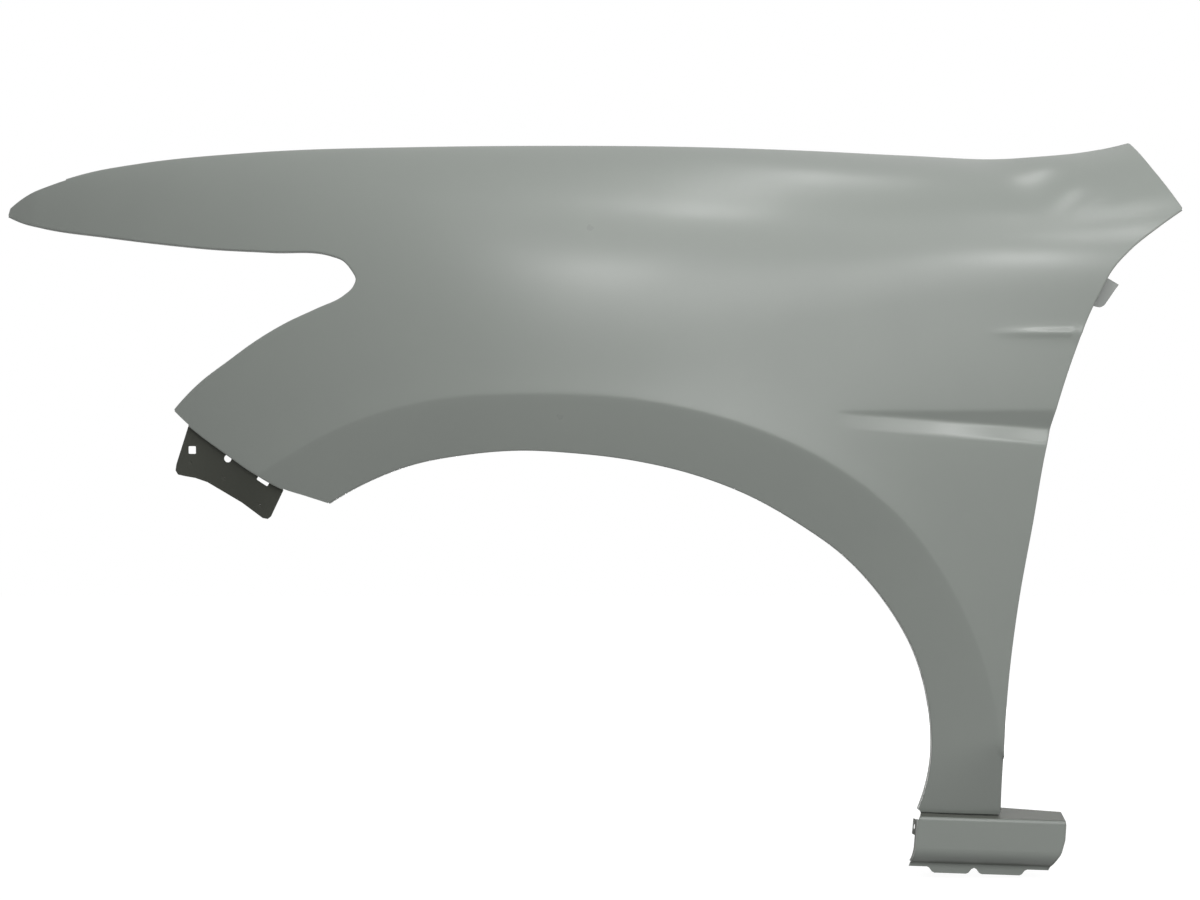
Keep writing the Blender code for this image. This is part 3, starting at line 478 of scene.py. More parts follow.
@dataclass
class DrawnForm:
    """The drawn form of the panel: its outline, and its depth at each place."""

    bonnet: Knots = (
        (-0.693, 0.6925), (-0.667, 0.709), (-0.639, 0.719), (-0.592, 0.7315), (-0.529, 0.741),
        (-0.386, 0.752), (-0.193, 0.756), (0.107, 0.7555), (0.281, 0.7505), (0.381, 0.746), (0.522, 0.743),
        (0.581, 0.748), (0.6505, 0.763),
    )
    windscreen: Knots = ((0.6505, 0.763), (0.700, 0.679))
    door: Knots = (
        (0.700, 0.679), (0.668, 0.657), (0.636, 0.632), (0.612, 0.606), (0.597, 0.579), (0.586, 0.557),
        (0.571, 0.5195), (0.5555, 0.475), (0.538, 0.414), (0.520, 0.313), (0.5045, 0.223), (0.493, 0.125),
        (0.489, 0.053), (0.4885, -0.024),
    )
    foot: Knots = ((0.4885, -0.024), (0.3955, -0.021))
    arch: Knots = (
        (0.3955, -0.021), (0.408, 0.031), (0.406, 0.099), (0.3895, 0.1615), (0.352, 0.2265), (0.304, 0.279),
        (0.2575, 0.3125), (0.1915, 0.3495), (0.133, 0.3715), (0.060, 0.3885), (-0.006, 0.3965),
        (-0.070, 0.3995), (-0.132, 0.3945), (-0.195, 0.3825), (-0.242, 0.365), (-0.2935, 0.337),
    )
    bumper: Knots = (
        (-0.2935, 0.337), (-0.320, 0.3455), (-0.3455, 0.3535), (-0.376, 0.370), (-0.417, 0.397),
        (-0.4595, 0.428), (-0.478, 0.445),
    )
    lamp: Knots = (
        (-0.478, 0.445), (-0.4465, 0.4765), (-0.412, 0.5015), (-0.3765, 0.526), (-0.342, 0.5455),
        (-0.305, 0.562), (-0.2735, 0.5765), (-0.2615, 0.5875), (-0.258, 0.597), (-0.264, 0.6095),
        (-0.2755, 0.6215), (-0.2895, 0.627), (-0.362, 0.6325), (-0.438, 0.638), (-0.481, 0.643),
        (-0.567, 0.655), (-0.651, 0.669), (-0.680, 0.677), (-0.695, 0.684),
    )
    nose: Knots = ((-0.695, 0.684), (-0.693, 0.6925))
    widest_x: float = 0.170
    sweep_span: float = 0.500
    front_sweep: float = 0.0733
    rear_sweep: float = 0.0375
    belt_height: Knots = (
        (-0.66, 0.46), (-0.20, 0.46), (0.05, 0.475), (0.25, 0.54), (0.45, 0.575), (0.70, 0.56),
    )
    shoulder_depth: Knots = (
        (-0.66, 0.03), (-0.45, 0.065), (-0.20, 0.11), (0.10, 0.18), (0.30, 0.21), (0.45, 0.22), (0.70, 0.26),
    )
    shoulder_share: Knots = ((-0.66, 0.965), (-0.30, 0.98), (-0.05, 0.965), (0.15, 0.93), (0.70, 0.90))
    shoulder_power: float = 2.5
    steepest: float = 0.999
    tuck_height: float = 0.42
    tuck_slope: float = 0.09
    tuck_blend: float = 0.06
    crease: Knots = (
        (-0.375, 0.370), (-0.340, 0.392), (-0.280, 0.424), (-0.182, 0.454), (-0.049, 0.463),
        (0.081, 0.454), (0.212, 0.419), (0.300, 0.375), (0.370, 0.319), (0.433, 0.230),
        (0.469, 0.143), (0.486, 0.065),
    )
    band_slope: float = 0.26
    crease_blend: float = 0.003
    flare_proud: float = 0.008
    flare_reach: float = 0.055
    groove_start: Knot = (0.293, 0.4425)
    groove_end_x: float = 0.539
    groove_top: float = 0.4445
    groove_floor: float = 0.4230
    lower_facet: float = 0.0175
    groove_depth: float = 0.009
    groove_blend: float = 0.0015
    narrowest: float = 0.0001
    rib_height: float = 0.5335
    rib_proud: float = 0.0018
    rib_width: float = 0.0048
    rib_from: float = 0.450
    rib_full: float = 0.560
    valley_start: Knot = (0.560, 0.665)
    valley_end: Knot = (0.672, 0.730)
    valley_slope: float = 0.45
    valley_blend: float = 0.006
    valley_fade: Knot = (0.05, 0.07)
    curves: dict[Edge, np.ndarray] = field(init=False)
    crease_line: np.ndarray = field(init=False)
    bonnet_beyond: np.ndarray = field(init=False)

    def __post_init__(self) -> None:
        """Works out the curves that the depth and the flanges are measured against."""
        self.curves = {edge: smooth_curve(getattr(self, edge.value)) for edge in Edge}
        self.crease_line = divide(smooth_curve(self.crease), CELL)[0]
        line = self.curves[Edge.BONNET]
        self.bonnet_beyond = np.vstack([line, 3 * line[-1] - 2 * line[-DENSE // 2]])

    def groove_share(self, x: np.ndarray) -> np.ndarray:
        """How far the groove has opened at x, from 0 at its point to 1 at the door."""
        return np.clip((x - self.groove_start[0]) / (self.groove_end_x - self.groove_start[0]), 0.0, None)

    def groove_lines(self, x: np.ndarray) -> tuple[np.ndarray, np.ndarray, np.ndarray]:
        """Heights at x of the groove's top, floor and foot."""
        start, share = self.groove_start[1], self.groove_share(x)
        floor = start + (self.groove_floor - start) * share
        return start + (self.groove_top - start) * share, floor, floor - self.lower_facet

    def groove(self, x: np.ndarray, z: np.ndarray) -> np.ndarray:
        """Depth of the character line's V groove at each place."""
        top, floor, foot = self.groove_lines(x)
        upper = np.maximum(top - floor, self.narrowest)
        rise = ramp(z - foot, self.groove_blend) / self.lower_facet
        turn = ramp(z - floor, self.groove_blend) * (1 / self.lower_facet + 1 / upper)
        fall = ramp(z - top, self.groove_blend) / upper
        return self.groove_depth * self.groove_share(x) * (rise - turn + fall)

    def valley(self, x: np.ndarray, z: np.ndarray) -> np.ndarray:
        """How far the sheet beyond the pillar valley stands out from the shoulder's own lean."""
        start, end = np.array(self.valley_start), np.array(self.valley_end)
        along = (end - start) / np.linalg.norm(end - start)
        beyond = (z - start[1]) * along[0] - (x - start[0]) * along[1]
        travel = (x - start[0]) * along[0] + (z - start[1]) * along[1]
        fade = ease((travel + self.valley_fade[0]) / sum(self.valley_fade))
        return self.valley_slope * ramp(beyond, self.valley_blend) * fade

    def depth(self, x: np.ndarray, z: np.ndarray) -> np.ndarray:
        """How far inboard the drawn surface lies at each (x, z)."""
        spans = (x - self.widest_x) / self.sweep_span
        sweep = self.rear_sweep + (self.front_sweep - self.rear_sweep) * ease(0.5 - spans)
        belt = station(x, self.belt_height)
        top = np.interp(x, self.bonnet_beyond[:, 0], self.bonnet_beyond[:, 1])
        rise = np.clip((z - belt) / (top - belt) * station(x, self.shoulder_share), 0.0, self.steepest)
        lean = station(x, self.shoulder_depth) * (1 - np.sqrt(1 - rise**self.shoulder_power))
        tuck = self.tuck_slope * ramp(self.tuck_height - z, self.tuck_blend)
        gap, side = nearest_on(np.stack([x, z], axis=1), self.crease_line)
        band = self.band_slope * ramp(-gap * side, self.crease_blend)
        flare = self.flare_proud * np.exp(-np.maximum(gap * side, 0.0) / self.flare_reach)
        fade = ease((x - self.rib_from) / (self.rib_full - self.rib_from))
        rib = self.rib_proud * fade * np.exp(-(((z - self.rib_height) / self.rib_width) ** 2))
        return sweep * spans**2 + lean + tuck + band - flare - rib + self.groove(x, z) - self.valley(x, z)

    def on_skin(self, flat: np.ndarray) -> np.ndarray:
        """Points of the drawn surface at (x, z) places."""
        return np.stack([flat[:, 0], self.depth(flat[:, 0], flat[:, 1]), flat[:, 1]], axis=1)

    def headings(self, flat: np.ndarray) -> np.ndarray:
        """At each point of a clockwise edge, the direction in which the sheet runs out over that edge."""
        x, z = flat.T
        slope_x = (self.depth(x + PROBE, z) - self.depth(x - PROBE, z)) / (2 * PROBE)
        slope_z = (self.depth(x, z + PROBE) - self.depth(x, z - PROBE)) / (2 * PROBE)
        normal = unit(np.stack([slope_x, -np.ones_like(x), slope_z], axis=1))
        tangent = unit(np.gradient(self.on_skin(flat), axis=0))
        return unit(np.cross(normal, tangent))


@dataclass
class Seam:
    """One edge of the laid skin: its vertices, their (x, z) places and their distances along the edge."""

    vertices: list[int]
    places: np.ndarray
    run: np.ndarray

    def stretch(self, start: float, end: float) -> tuple[list[int], np.ndarray]:
        """The vertices and places between two distances along the edge."""
        kept = [i for i, r in enumerate(self.run) if start - PROBE / 2 <= r <= end + PROBE / 2]
        return [self.vertices[i] for i in kept], self.places[kept]


@dataclass
class OuterPanel:
    """The drawn panel, with every flange that is folded from its own sheet."""

    form: DrawnForm
    relief: float = 0.0012
    inner_row: float = 0.0013  # a row of facets this far inside the outline
    closest: float = 0.0011  # no two points of the skin lie closer than this
    crease_rows: tuple[float, ...] = (-0.010, -0.006, -0.0035, -0.0017, 0.0, 0.0017, 0.0035, 0.006, 0.010)
    groove_rows: tuple[float, ...] = (-0.0035, -0.0017, 0.0, 0.0017, 0.0035)
    rib_rows: tuple[float, ...] = (
        -0.009, -0.0065, -0.0048, -0.0033, -0.0016, 0.0, 0.0016, 0.0033, 0.0048, 0.0065, 0.009,
    )
    roll_rows: tuple[float, ...] = (0.003, 0.005, 0.0075, 0.0105, 0.014, 0.018, 0.0225)
    clear_of_rows: float = 0.0035
    bonnet_fold: float = 0.003
    bonnet_from: float = -0.620
    bonnet_to: float = 0.615
    wall_draft: float = 0.10
    wall_shortest: float = 0.035
    ledge_height: float = 0.700
    ledge_fold: float = 0.003
    ledge_narrow: float = 0.012
    ledge_wide: float = 0.025
    pad_count: int = 6
    pad_first: float = -0.490
    pad_pitch: float = 0.204
    pad_length: float = 0.040
    pad_taper: float = 0.014
    bolt_hole: float = 0.009
    door_fold: float = 0.0015
    door_flange: float = 0.011
    lamp_fold: float = 0.002
    lamp_flange: float = 0.013
    arch_fold: float = 0.002
    arch_lip: float = 0.015
    liner_holes: int = 5
    liner_hole: float = 0.006
    foot_fold: float = 0.002
    foot_flange: float = 0.012
    foot_rise: float = math.radians(11)
    bumper_fold: float = 0.002
    bumper_step: float = 0.004
    bumper_from: Knot = (-0.3455, 0.3535)
    bumper_to: Knot = (-0.460, 0.4285)
    bumper_outline: Knots = (
        (-0.362, 0.321), (-0.366, 0.318), (-0.372, 0.319), (-0.397, 0.337), (-0.439, 0.361),
        (-0.454, 0.366), (-0.466, 0.368), (-0.475, 0.370), (-0.478, 0.375), (-0.477, 0.382),
    )
    bumper_rows: int = 8
    square_hole_at: Knot = (-0.457, 0.399)
    square_hole: Knot = (0.009, 0.009)
    round_hole_at: Knot = (-0.413, 0.389)
    round_hole: float = 0.009
    slot_at: Knot = (-0.370, 0.363)
    slot: Knot = (0.015, 0.006)
    slot_tilt: float = math.radians(33)
    hole_corner: float = 0.0012
    weld_dents: Knots = ((-0.4595, 0.3845), (-0.4185, 0.3655), (-0.3755, 0.3345))
    weld_dent: float = 0.006
    weld_sunk: float = 0.0005

    def pads(self) -> list[float]:
        """Stations of the bolt pads along the bonnet ledge."""
        return [self.pad_first + i * self.pad_pitch for i in range(self.pad_count)]

    def bumper_span(self) -> list[float]:
        """Where the bumper flange starts and ends, as distances along the bumper edge."""
        curve = self.form.curves[Edge.BUMPER]
        return [place_on(curve, point) for point in (self.bumper_from, self.bumper_to)]

    def edges(self) -> dict[Edge, tuple[np.ndarray, np.ndarray]]:
        """Each edge as its places and their distances along it, with the stops that the flanges need."""
        form, curves = self.form, self.form.curves
        door, bonnet = curves[Edge.DOOR], curves[Edge.BONNET]
        grooves = [np.abs(door[:, 1] - line).argmin() for line in form.groove_lines(door[:, 0])]
        halves = (self.pad_length / 2, self.pad_length / 2 + self.pad_taper)
        corners = [x + side * half for x in self.pads() for half in halves for side in (-1, 1)]
        outline = run_lengths(np.array(self.bumper_outline))
        stops = {
            Edge.BONNET: [place_at_x(bonnet, x) for x in (self.bonnet_from, self.bonnet_to, *corners)],
            Edge.DOOR: [*run_lengths(door)[grooves], place_on(door, form.crease[-1])],
            Edge.BUMPER: [
                place_on(curves[Edge.BUMPER], form.crease[0]),
                *np.interp(outline, outline[[0, -1]], self.bumper_span()),
            ],
        }
        free = (Edge.NOSE, Edge.BUMPER, Edge.BONNET)
        for edge, curve in curves.items():
            if edge not in free:
                stops[edge] = [*stops.get(edge, []), self.relief, run_lengths(curve)[-1] - self.relief]
        return {edge: divide(curve, CELL, tuple(stops.get(edge, ()))) for edge, curve in curves.items()}

    def feature_points(
        self, edges: dict[Edge, tuple[np.ndarray, np.ndarray]], loop: np.ndarray
    ) -> np.ndarray:
        """Rows of points along the crease, the groove's lines, the roll-over and the outline.

        Args:
            edges: The divided edges of the panel.
            loop: All of them as one closed loop.

        Returns:
            The points that lie inside the loop, none of them crowded.
        """
        form = self.form
        crease = divide(smooth_curve(form.crease), CELL * 2 / 3)[0]
        across = unit(np.gradient(crease, axis=0))[:, ::-1] * (-1, 1)
        rows = [crease + offset * across for offset in self.crease_rows]
        x = np.arange(form.groove_start[0], form.groove_end_x + CELL, CELL / 2)
        for z in form.groove_lines(x):
            rows += [np.stack([x, z + offset], axis=1) for offset in self.groove_rows]
        x = np.arange(form.rib_from, form.rib_full + CELL, CELL / 2)
        rows += [np.stack([x, np.full(len(x), form.rib_height + offset)], axis=1) for offset in self.rib_rows]
        bonnet = edges[Edge.BONNET][0]
        middle = bonnet[(bonnet[:, 0] > self.bonnet_from) & (bonnet[:, 0] < self.bonnet_to)]
        rows += [middle - (0.0, drop) for drop in self.roll_rows]
        inward = unit(np.roll(loop, -1, axis=0) - np.roll(loop, 1, axis=0))[:, ::-1] * (1, -1)
        rows.insert(0, loop + self.inner_row * inward)
        points = np.vstack(rows)
        return self.thinned(points[inside(points, loop)], loop)

    def thinned(self, points: np.ndarray, loop: np.ndarray) -> np.ndarray:
        """Drops points that crowd the loop or an earlier point."""
        fence = divide(np.vstack([loop, loop[:1]]), self.closest / 2)[0]
        tree = KDTree(len(fence))
        for i, (x, z) in enumerate(fence):
            tree.insert((x, z, 0.0), i)
        tree.balance()
        held: dict[tuple[int, int], list[tuple[float, float]]] = {}
        kept = []
        for x, z in points:
            if tree.find((x, z, 0.0))[2] < self.closest:
                continue
            i, j = int(x // self.closest), int(z // self.closest)
            near = [p for a in (-1, 0, 1) for b in (-1, 0, 1) for p in held.get((i + a, j + b), ())]
            if all(math.hypot(x - a, z - b) >= self.closest for a, b in near):
                held.setdefault((i, j), []).append((x, z))
                kept.append((x, z))
        return np.array(kept)

    def lattice(self, loop: np.ndarray, rows: np.ndarray) -> np.ndarray:
        """Evenly spread points inside the outline, clear of it and of the rows along the features."""
        low, high = loop.min(axis=0), loop.max(axis=0)
        levels = np.arange(low[1], high[1], CELL * math.sqrt(3) / 2)
        places = [
            np.stack([x := np.arange(low[0], high[0], CELL) + CELL / 2 * (i % 2), np.full_like(x, z)], axis=1)
            for i, z in enumerate(levels)
        ]
        points = np.vstack(places)
        points = points[inside(points, loop)]
        fixed = np.vstack([loop, rows])
        tree = KDTree(len(fixed))
        for i, (x, z) in enumerate(fixed):
            tree.insert((x, z, 0.0), i)
        tree.balance()
        return points[[tree.find((x, z, 0.0))[2] > self.clear_of_rows for x, z in points]]

    def lay_skin(self) -> tuple[bpy.types.Object, dict[Edge, Seam]]:
        """Lays the drawn surface as a fine net, because no primitive has its outline.

        Returns:
            The open sheet, and its edges.
        """
        edges = self.edges()
        loop = np.vstack([points[:-1] for points, _ in edges.values()])
        rows = self.feature_points(edges, loop)
        flat = np.vstack([loop, rows, self.lattice(loop, rows)])
        made, _, faces, sources, _, _ = delaunay_2d_cdt(
            [Vector(p) for p in flat], [], [list(range(len(loop)))[::-1]], 1, PROBE / 100
        )
        net = bpy.data.meshes.new("outer_panel_skin")
        net.from_pydata(self.form.on_skin(np.array([tuple(p) for p in made])).tolist(), [], faces)
        skin = bpy.data.objects.new("outer_panel_skin", net)
        bpy.context.collection.objects.link(skin)
        became = {source: i for i, group in enumerate(sources) for source in group}
        seams, first = {}, 0
        for edge, (points, run) in edges.items():
            chain = [became[(first + i) % len(loop)] for i in range(len(points))]
            seams[edge] = Seam(chain, points, run)
            first += len(points) - 1
        return skin, seams

    def bonnet_rows(self, flat: np.ndarray) -> Path:
        """Rows of the bonnet edge's flange: over the fold, down the wall and round to the ledge."""
        down = unit(np.array([0.0, self.wall_draft, -1.0]))
        folded = bend(self.form.on_skin(flat), self.form.headings(flat), down, self.bonnet_fold, 0.0)
        corner, support = folded[FOLD_STEPS - 1], folded[FOLD_STEPS]
        ledge = np.minimum(self.ledge_height, flat[:, 1] - self.wall_shortest)
        wall = (corner[:, 2] - ledge - self.ledge_fold * (1 - down[1])) / -down[2]
        foot = corner + down * wall[:, None]
        gap = np.min([np.abs(flat[:, 0] - x) for x in self.pads()], axis=0)
        share = 1 - np.clip((gap - self.pad_length / 2) / self.pad_taper, 0.0, 1.0)
        width = self.ledge_narrow + (self.ledge_wide - self.ledge_narrow) * share
        heading = np.broadcast_to(down, foot.shape)
        turn = bend(foot, heading, INBOARD, self.ledge_fold, width)
        return [*folded[:FOLD_STEPS], support, foot - down * SUPPORT, foot, *turn]

    def ledge_place(self, x: float) -> np.ndarray:
        """Where the middle of the ledge's width lies at a station."""
        curve = self.form.curves[Edge.BONNET]
        flat = divide(curve, CELL, (place_at_x(curve, x),))[0]
        rows = self.bonnet_rows(flat)
        near = np.abs(flat[:, 0] - x).argmin()
        return (rows[-3][near] + rows[-1][near]) / 2

    def bumper_flange_rows(self, flat: np.ndarray) -> Path:
        """Rows of the stepped bumper flange: in, down again, then out to its own outline."""
        headings = self.form.headings(flat)
        stepped = bend(self.form.on_skin(flat), headings, INBOARD, self.bumper_fold, self.bumper_step)
        inward = np.broadcast_to(INBOARD, headings.shape)
        turned = bend(stepped[-1], inward, headings, self.bumper_fold, 0.0)[:FOLD_STEPS]
        outline, run = np.array(self.bumper_outline), run_lengths(flat)
        target = self.flange_rim(sample(outline, run / run[-1] * run_lengths(outline)[-1]))
        start, count = turned[-1], self.bumper_rows
        lofted = [start + (target - start) * (i + 1) / count for i in range(count)]
        return [*stepped, *turned, *lofted]

    def bumper_set_back(self) -> float:
        """How far inboard of the skin the bumper flange lies."""
        return 2 * self.bumper_fold + self.bumper_step

    def flange_rim(self, flat: np.ndarray) -> np.ndarray:
        """Places on the bumper flange's outline, whose depth runs straight between its two ends."""
        ends = np.array([self.bumper_outline[0], self.bumper_outline[-1]])
        order = ends[:, 0].argsort()
        level = np.interp(flat[:, 0], ends[order, 0], self.form.on_skin(ends)[order, 1])
        return np.stack([flat[:, 0], level + self.bumper_set_back(), flat[:, 1]], axis=1)

    def flange_place(self, at: Knot) -> np.ndarray:
        """The place at (x, z) on the bumper flange, on the line of its loft that passes nearest."""
        flat = sample(self.form.curves[Edge.BUMPER], np.linspace(*self.bumper_span(), DENSE))
        rows = self.bumper_flange_rows(flat)
        start, line = rows[-self.bumper_rows - 1], rows[-1] - rows[-self.bumper_rows - 1]
        share = ((at - start[:, ::2]) * line[:, ::2]).sum(axis=1) / (line[:, ::2] ** 2).sum(axis=1)
        places = start + line * np.clip(share, 0.0, 1.0)[:, None]
        near = np.linalg.norm(places[:, ::2] - at, axis=1).argmin()
        return np.array([at[0], places[near, 1], at[1]])

    def fold(self, skin: bpy.types.Object, seams: dict[Edge, Seam]) -> None:
        """Folds every flange out of the skin's own edges."""
        curve = self.form.curves[Edge.BONNET]
        span = [place_at_x(curve, x) for x in (self.bonnet_from, self.bonnet_to)]
        vertices, flat = seams[Edge.BONNET].stretch(*span)
        extrude_chain(skin, vertices, self.bonnet_rows(flat))
        rise = np.array([0.0, math.cos(self.foot_rise), math.sin(self.foot_rise)])
        plain = {
            Edge.WINDSCREEN: (self.door_fold, self.door_flange, INBOARD),
            Edge.DOOR: (self.door_fold, self.door_flange, INBOARD),
            Edge.FOOT: (self.foot_fold, self.foot_flange, rise),
            Edge.ARCH: (self.arch_fold, self.arch_lip, INBOARD),
            Edge.LAMP: (self.lamp_fold, self.lamp_flange, INBOARD),
        }
        for edge, (radius, length, target) in plain.items():
            vertices, flat = seams[edge].stretch(self.relief, seams[edge].run[-1] - self.relief)
            rows = bend(self.form.on_skin(flat), self.form.headings(flat), target, radius, length)
            extrude_chain(skin, vertices, rows)
        vertices, flat = seams[Edge.BUMPER].stretch(*self.bumper_span())
        extrude_chain(skin, vertices, self.bumper_flange_rows(flat))

    def cutters(self) -> list[bpy.types.Object]:
        """Drills for the bolt and liner holes, punches for the bumper flange, and its weld dents."""
        deselect()
        up, form = np.array([0.0, 0.0, 1.0]), self.form
        made = [add_drill(self.ledge_place(x), up, self.bolt_hole) for x in self.pads()]
        curve = form.curves[Edge.ARCH]
        spots = sample(curve, np.linspace(0.0, run_lengths(curve)[-1], self.liner_holes + 2)[1:-1])
        headings = form.headings(spots)
        middle = self.arch_fold + self.arch_lip / 2
        middles = form.on_skin(spots) + headings * self.arch_fold + INBOARD * middle
        made += [add_drill(p, h * (1, 0, 1), self.liner_hole) for p, h in zip(middles, headings)]
        made.append(add_drill(self.flange_place(self.round_hole_at), INBOARD, self.round_hole))
        made.append(add_punch(self.flange_place(self.square_hole_at), self.square_hole, self.hole_corner))
        made.append(add_punch(self.flange_place(self.slot_at), self.slot, self.hole_corner, self.slot_tilt))
        dents = [self.flange_place(at) for at in self.weld_dents]
        made += [add_dent(place, INBOARD, self.weld_dent, self.weld_sunk) for place in dents]
        return made

    def build(self) -> bpy.types.Object:
        """Makes the whole panel, in its own frame.

        Returns:
            The closed sheet.
        """
        skin, seams = self.lay_skin()
        self.fold(skin, seams)
        thicken(skin)
        cut(skin, self.cutters())
        skin.name = skin.data.name = "fender_outer_panel"
        return skin


@dataclass
class SillExtension:
    """The stamping welded under the panel's foot: ledge, shoulder, face, rolled foot and pinch tabs."""

    form: DrawnForm
    panel: OuterPanel
    front: Knots = (
        (-0.090, 0.3825), (-0.079, 0.3865), (-0.062, 0.390), (-0.044, 0.391), (-0.033, 0.3925),
        (-0.027, 0.396), (-0.021, 0.404),
    )
    rear: Knots = (
        (-0.0875, 0.546), (-0.076, 0.5525), (-0.0675, 0.558), (-0.062, 0.560), (-0.032, 0.564),
        (-0.025, 0.563),
    )
    proud: float = 0.010
    ledge_front: float = 0.055
    ledge_rear: float = 0.033
    shoulder: float = 0.004
    face: float = 0.033
    roll: float = 0.018
    roll_turn: float = math.radians(70)
    underside: float = 0.004
    pinch_fold: float = 0.003
    pinch_short: float = 0.002
    pinch_long: float = 0.009
    pinch_tabs: Knots = ((0.404, 0.459), (0.459, 0.521))
    pinch_taper: float = 0.009
    cell: float = 0.003
    end_flange: float = 0.010
    end_splay: float = 0.12
    tab_top: float = 0.001
    tab_height: float = 0.018
    tab_reach: float = 0.013
    tab_splay: float = 0.15
    tab_hole: float = 0.007

    def foot_slope(self) -> float:
        """How the foot's edge rises along X."""
        toe, heel = self.form.foot[-1], self.form.foot[0]
        return (heel[1] - toe[1]) / (heel[0] - toe[0])

    def moves(self, ledge: float, pinch: float) -> list[tuple[float, float]]:
        """The section's straights and turns, from the ledge's inboard edge to the pinch flange's foot."""
        rise = self.panel.foot_rise
        return [
            (ledge / math.cos(rise), 0.0),
            (self.shoulder, math.pi / 2 - rise),
            (self.tab_top, 0.0),
            (self.tab_height, 0.0),
            (self.face - self.tab_top - self.tab_height, 0.0),
            (self.roll, self.roll_turn),
            (self.underside, 0.0),
            (self.pinch_fold, -self.roll_turn),
            (pinch, 0.0),
        ]

    def section(self, ledge: float, pinch: float, moves: int | None = None) -> np.ndarray:
        """The section as (y, z) points, whole or up to one of its moves."""
        rise, heel = self.panel.foot_rise, np.array([self.form.foot[0]])
        top = heel[0, 1] - self.panel.foot_fold - SEAM / math.cos(rise)
        inboard = ledge - self.proud
        start = (float(self.form.depth(*heel.T)[0]) + inboard, top + inboard * math.tan(rise))
        return turtle(start, math.pi + rise, self.moves(ledge, pinch)[:moves])

    def end_of(self, moves: int) -> int:
        """The index of the section's point at which one of its moves ends."""
        return len(self.section(self.ledge_front, self.pinch_short, moves)) - 1

    def headings(self) -> tuple[np.ndarray, np.ndarray]:
        """Which way the front flange runs, and the liner tab beyond it."""
        return unit(np.array([-self.end_splay, 1.0, 0.0])), unit(np.array([-self.tab_splay, 1.0, 0.0]))

    def build(self) -> bpy.types.Object:
        """Makes the stamping, with its front end flanged and a tab for the wheel liner.

        Returns:
            The closed sheet.
        """
        heel_x, slope = self.form.foot[0][0], self.foot_slope()
        first, last = self.front[0][1], self.rear[0][1]
        marks = {m for a, b in self.pinch_tabs for m in (a, a + self.pinch_taper, b - self.pinch_taper, b)}
        line = np.linspace((first, 0.0), (last, 0.0), DENSE)
        columns = divide(line, self.cell, tuple(mark - first for mark in marks))[0][:, 0]
        shares = (columns - first) / (last - first)
        sections = []
        for x, along in zip(columns, shares):
            tabs = [min(min(x - a, b - x) / self.pinch_taper, 1.0) for a, b in self.pinch_tabs]
            ledge = self.ledge_front + (self.ledge_rear - self.ledge_front) * along
            reach = float(ease(np.array(max(*tabs, 0.0))))
            section = self.section(ledge, self.pinch_short + (self.pinch_long - self.pinch_short) * reach)
            front, rear = station(section[:, 1], self.front), station(section[:, 1], self.rear)
            across = front + (rear - front) * along
            height = section[:, 1] + slope * (across - heel_x)
            sections.append(np.stack([across, section[:, 0], height], axis=1))
        places = np.stack(sections, axis=1)
        obj = new_grid("fender_sill_extension", len(columns), len(places))
        place_grid(obj, places)
        start, end = self.end_of(2), self.end_of(6)
        flange, tab = self.headings()
        fold = places[start : end + 1, 0]
        chain = [j * len(columns) for j in range(start, end + 1)]
        edge = extrude_chain(obj, chain, [fold + self.end_flange * flange])
        root = slice(self.end_of(3) - start, self.end_of(4) - start + 1)
        tip = fold[root] + self.end_flange * flange
        extrude_chain(obj, edge[root], [tip + self.tab_reach * tab])
        thicken(obj)
        deselect()
        middle = tip[[0, -1]].mean(axis=0) + self.tab_reach / 2 * tab
        cut(obj, [add_drill(middle, np.array([tab[1], -tab[0], 0.0]), self.tab_hole)])
        return obj


@dataclass
class PillarBracket:
    """The angle welded inside the door flange, with a rounded lower corner."""

    form: DrawnForm
    panel: OuterPanel
    top: float = 0.600
    bottom: float = 0.567
    weld_leg: float = 0.015
    bend_radius: float = 0.002
    leg: float = 0.016
    foot_leg: float = 0.011
    corner: float = 0.008
    cell: float = 0.0015

    def build(self) -> bpy.types.Object:
        """Makes the angle.

        Returns:
            The closed sheet.
        """
        curve = self.form.curves[Edge.DOOR]
        flat, run = divide(curve[(curve[:, 1] < self.top) & (curve[:, 1] > self.bottom)], self.cell)
        headings, fold = self.form.headings(flat), self.panel.door_fold
        inner = self.form.on_skin(flat) + headings * (fold - SHEET - SEAM)
        path = turtle((0.0, 0.0), math.pi / 2, [
            (self.weld_leg, 0.0), (self.bend_radius, -math.pi / 2), (self.leg, 0.0),
        ])
        out = unit(headings * (1.0, 0.0, 1.0))
        low = np.maximum(self.corner - (run[-1] - run), 0.0)
        trimmed = self.corner - np.sqrt(self.corner**2 - low**2) + (self.leg - self.foot_leg) * run / run[-1]
        rows = []
        for across, deep in path:
            reach = np.full(len(flat), across)
            reach -= trimmed * np.clip((across - self.bend_radius) / (self.leg - self.bend_radius), 0.0, 1.0)
            rows.append(inner + INBOARD * (deep + fold + SEAM) + out * reach[:, None])
        obj = new_grid("fender_pillar_bracket", len(flat), len(rows))
        place_grid(obj, np.stack(rows))
        thicken(obj)
        return obj


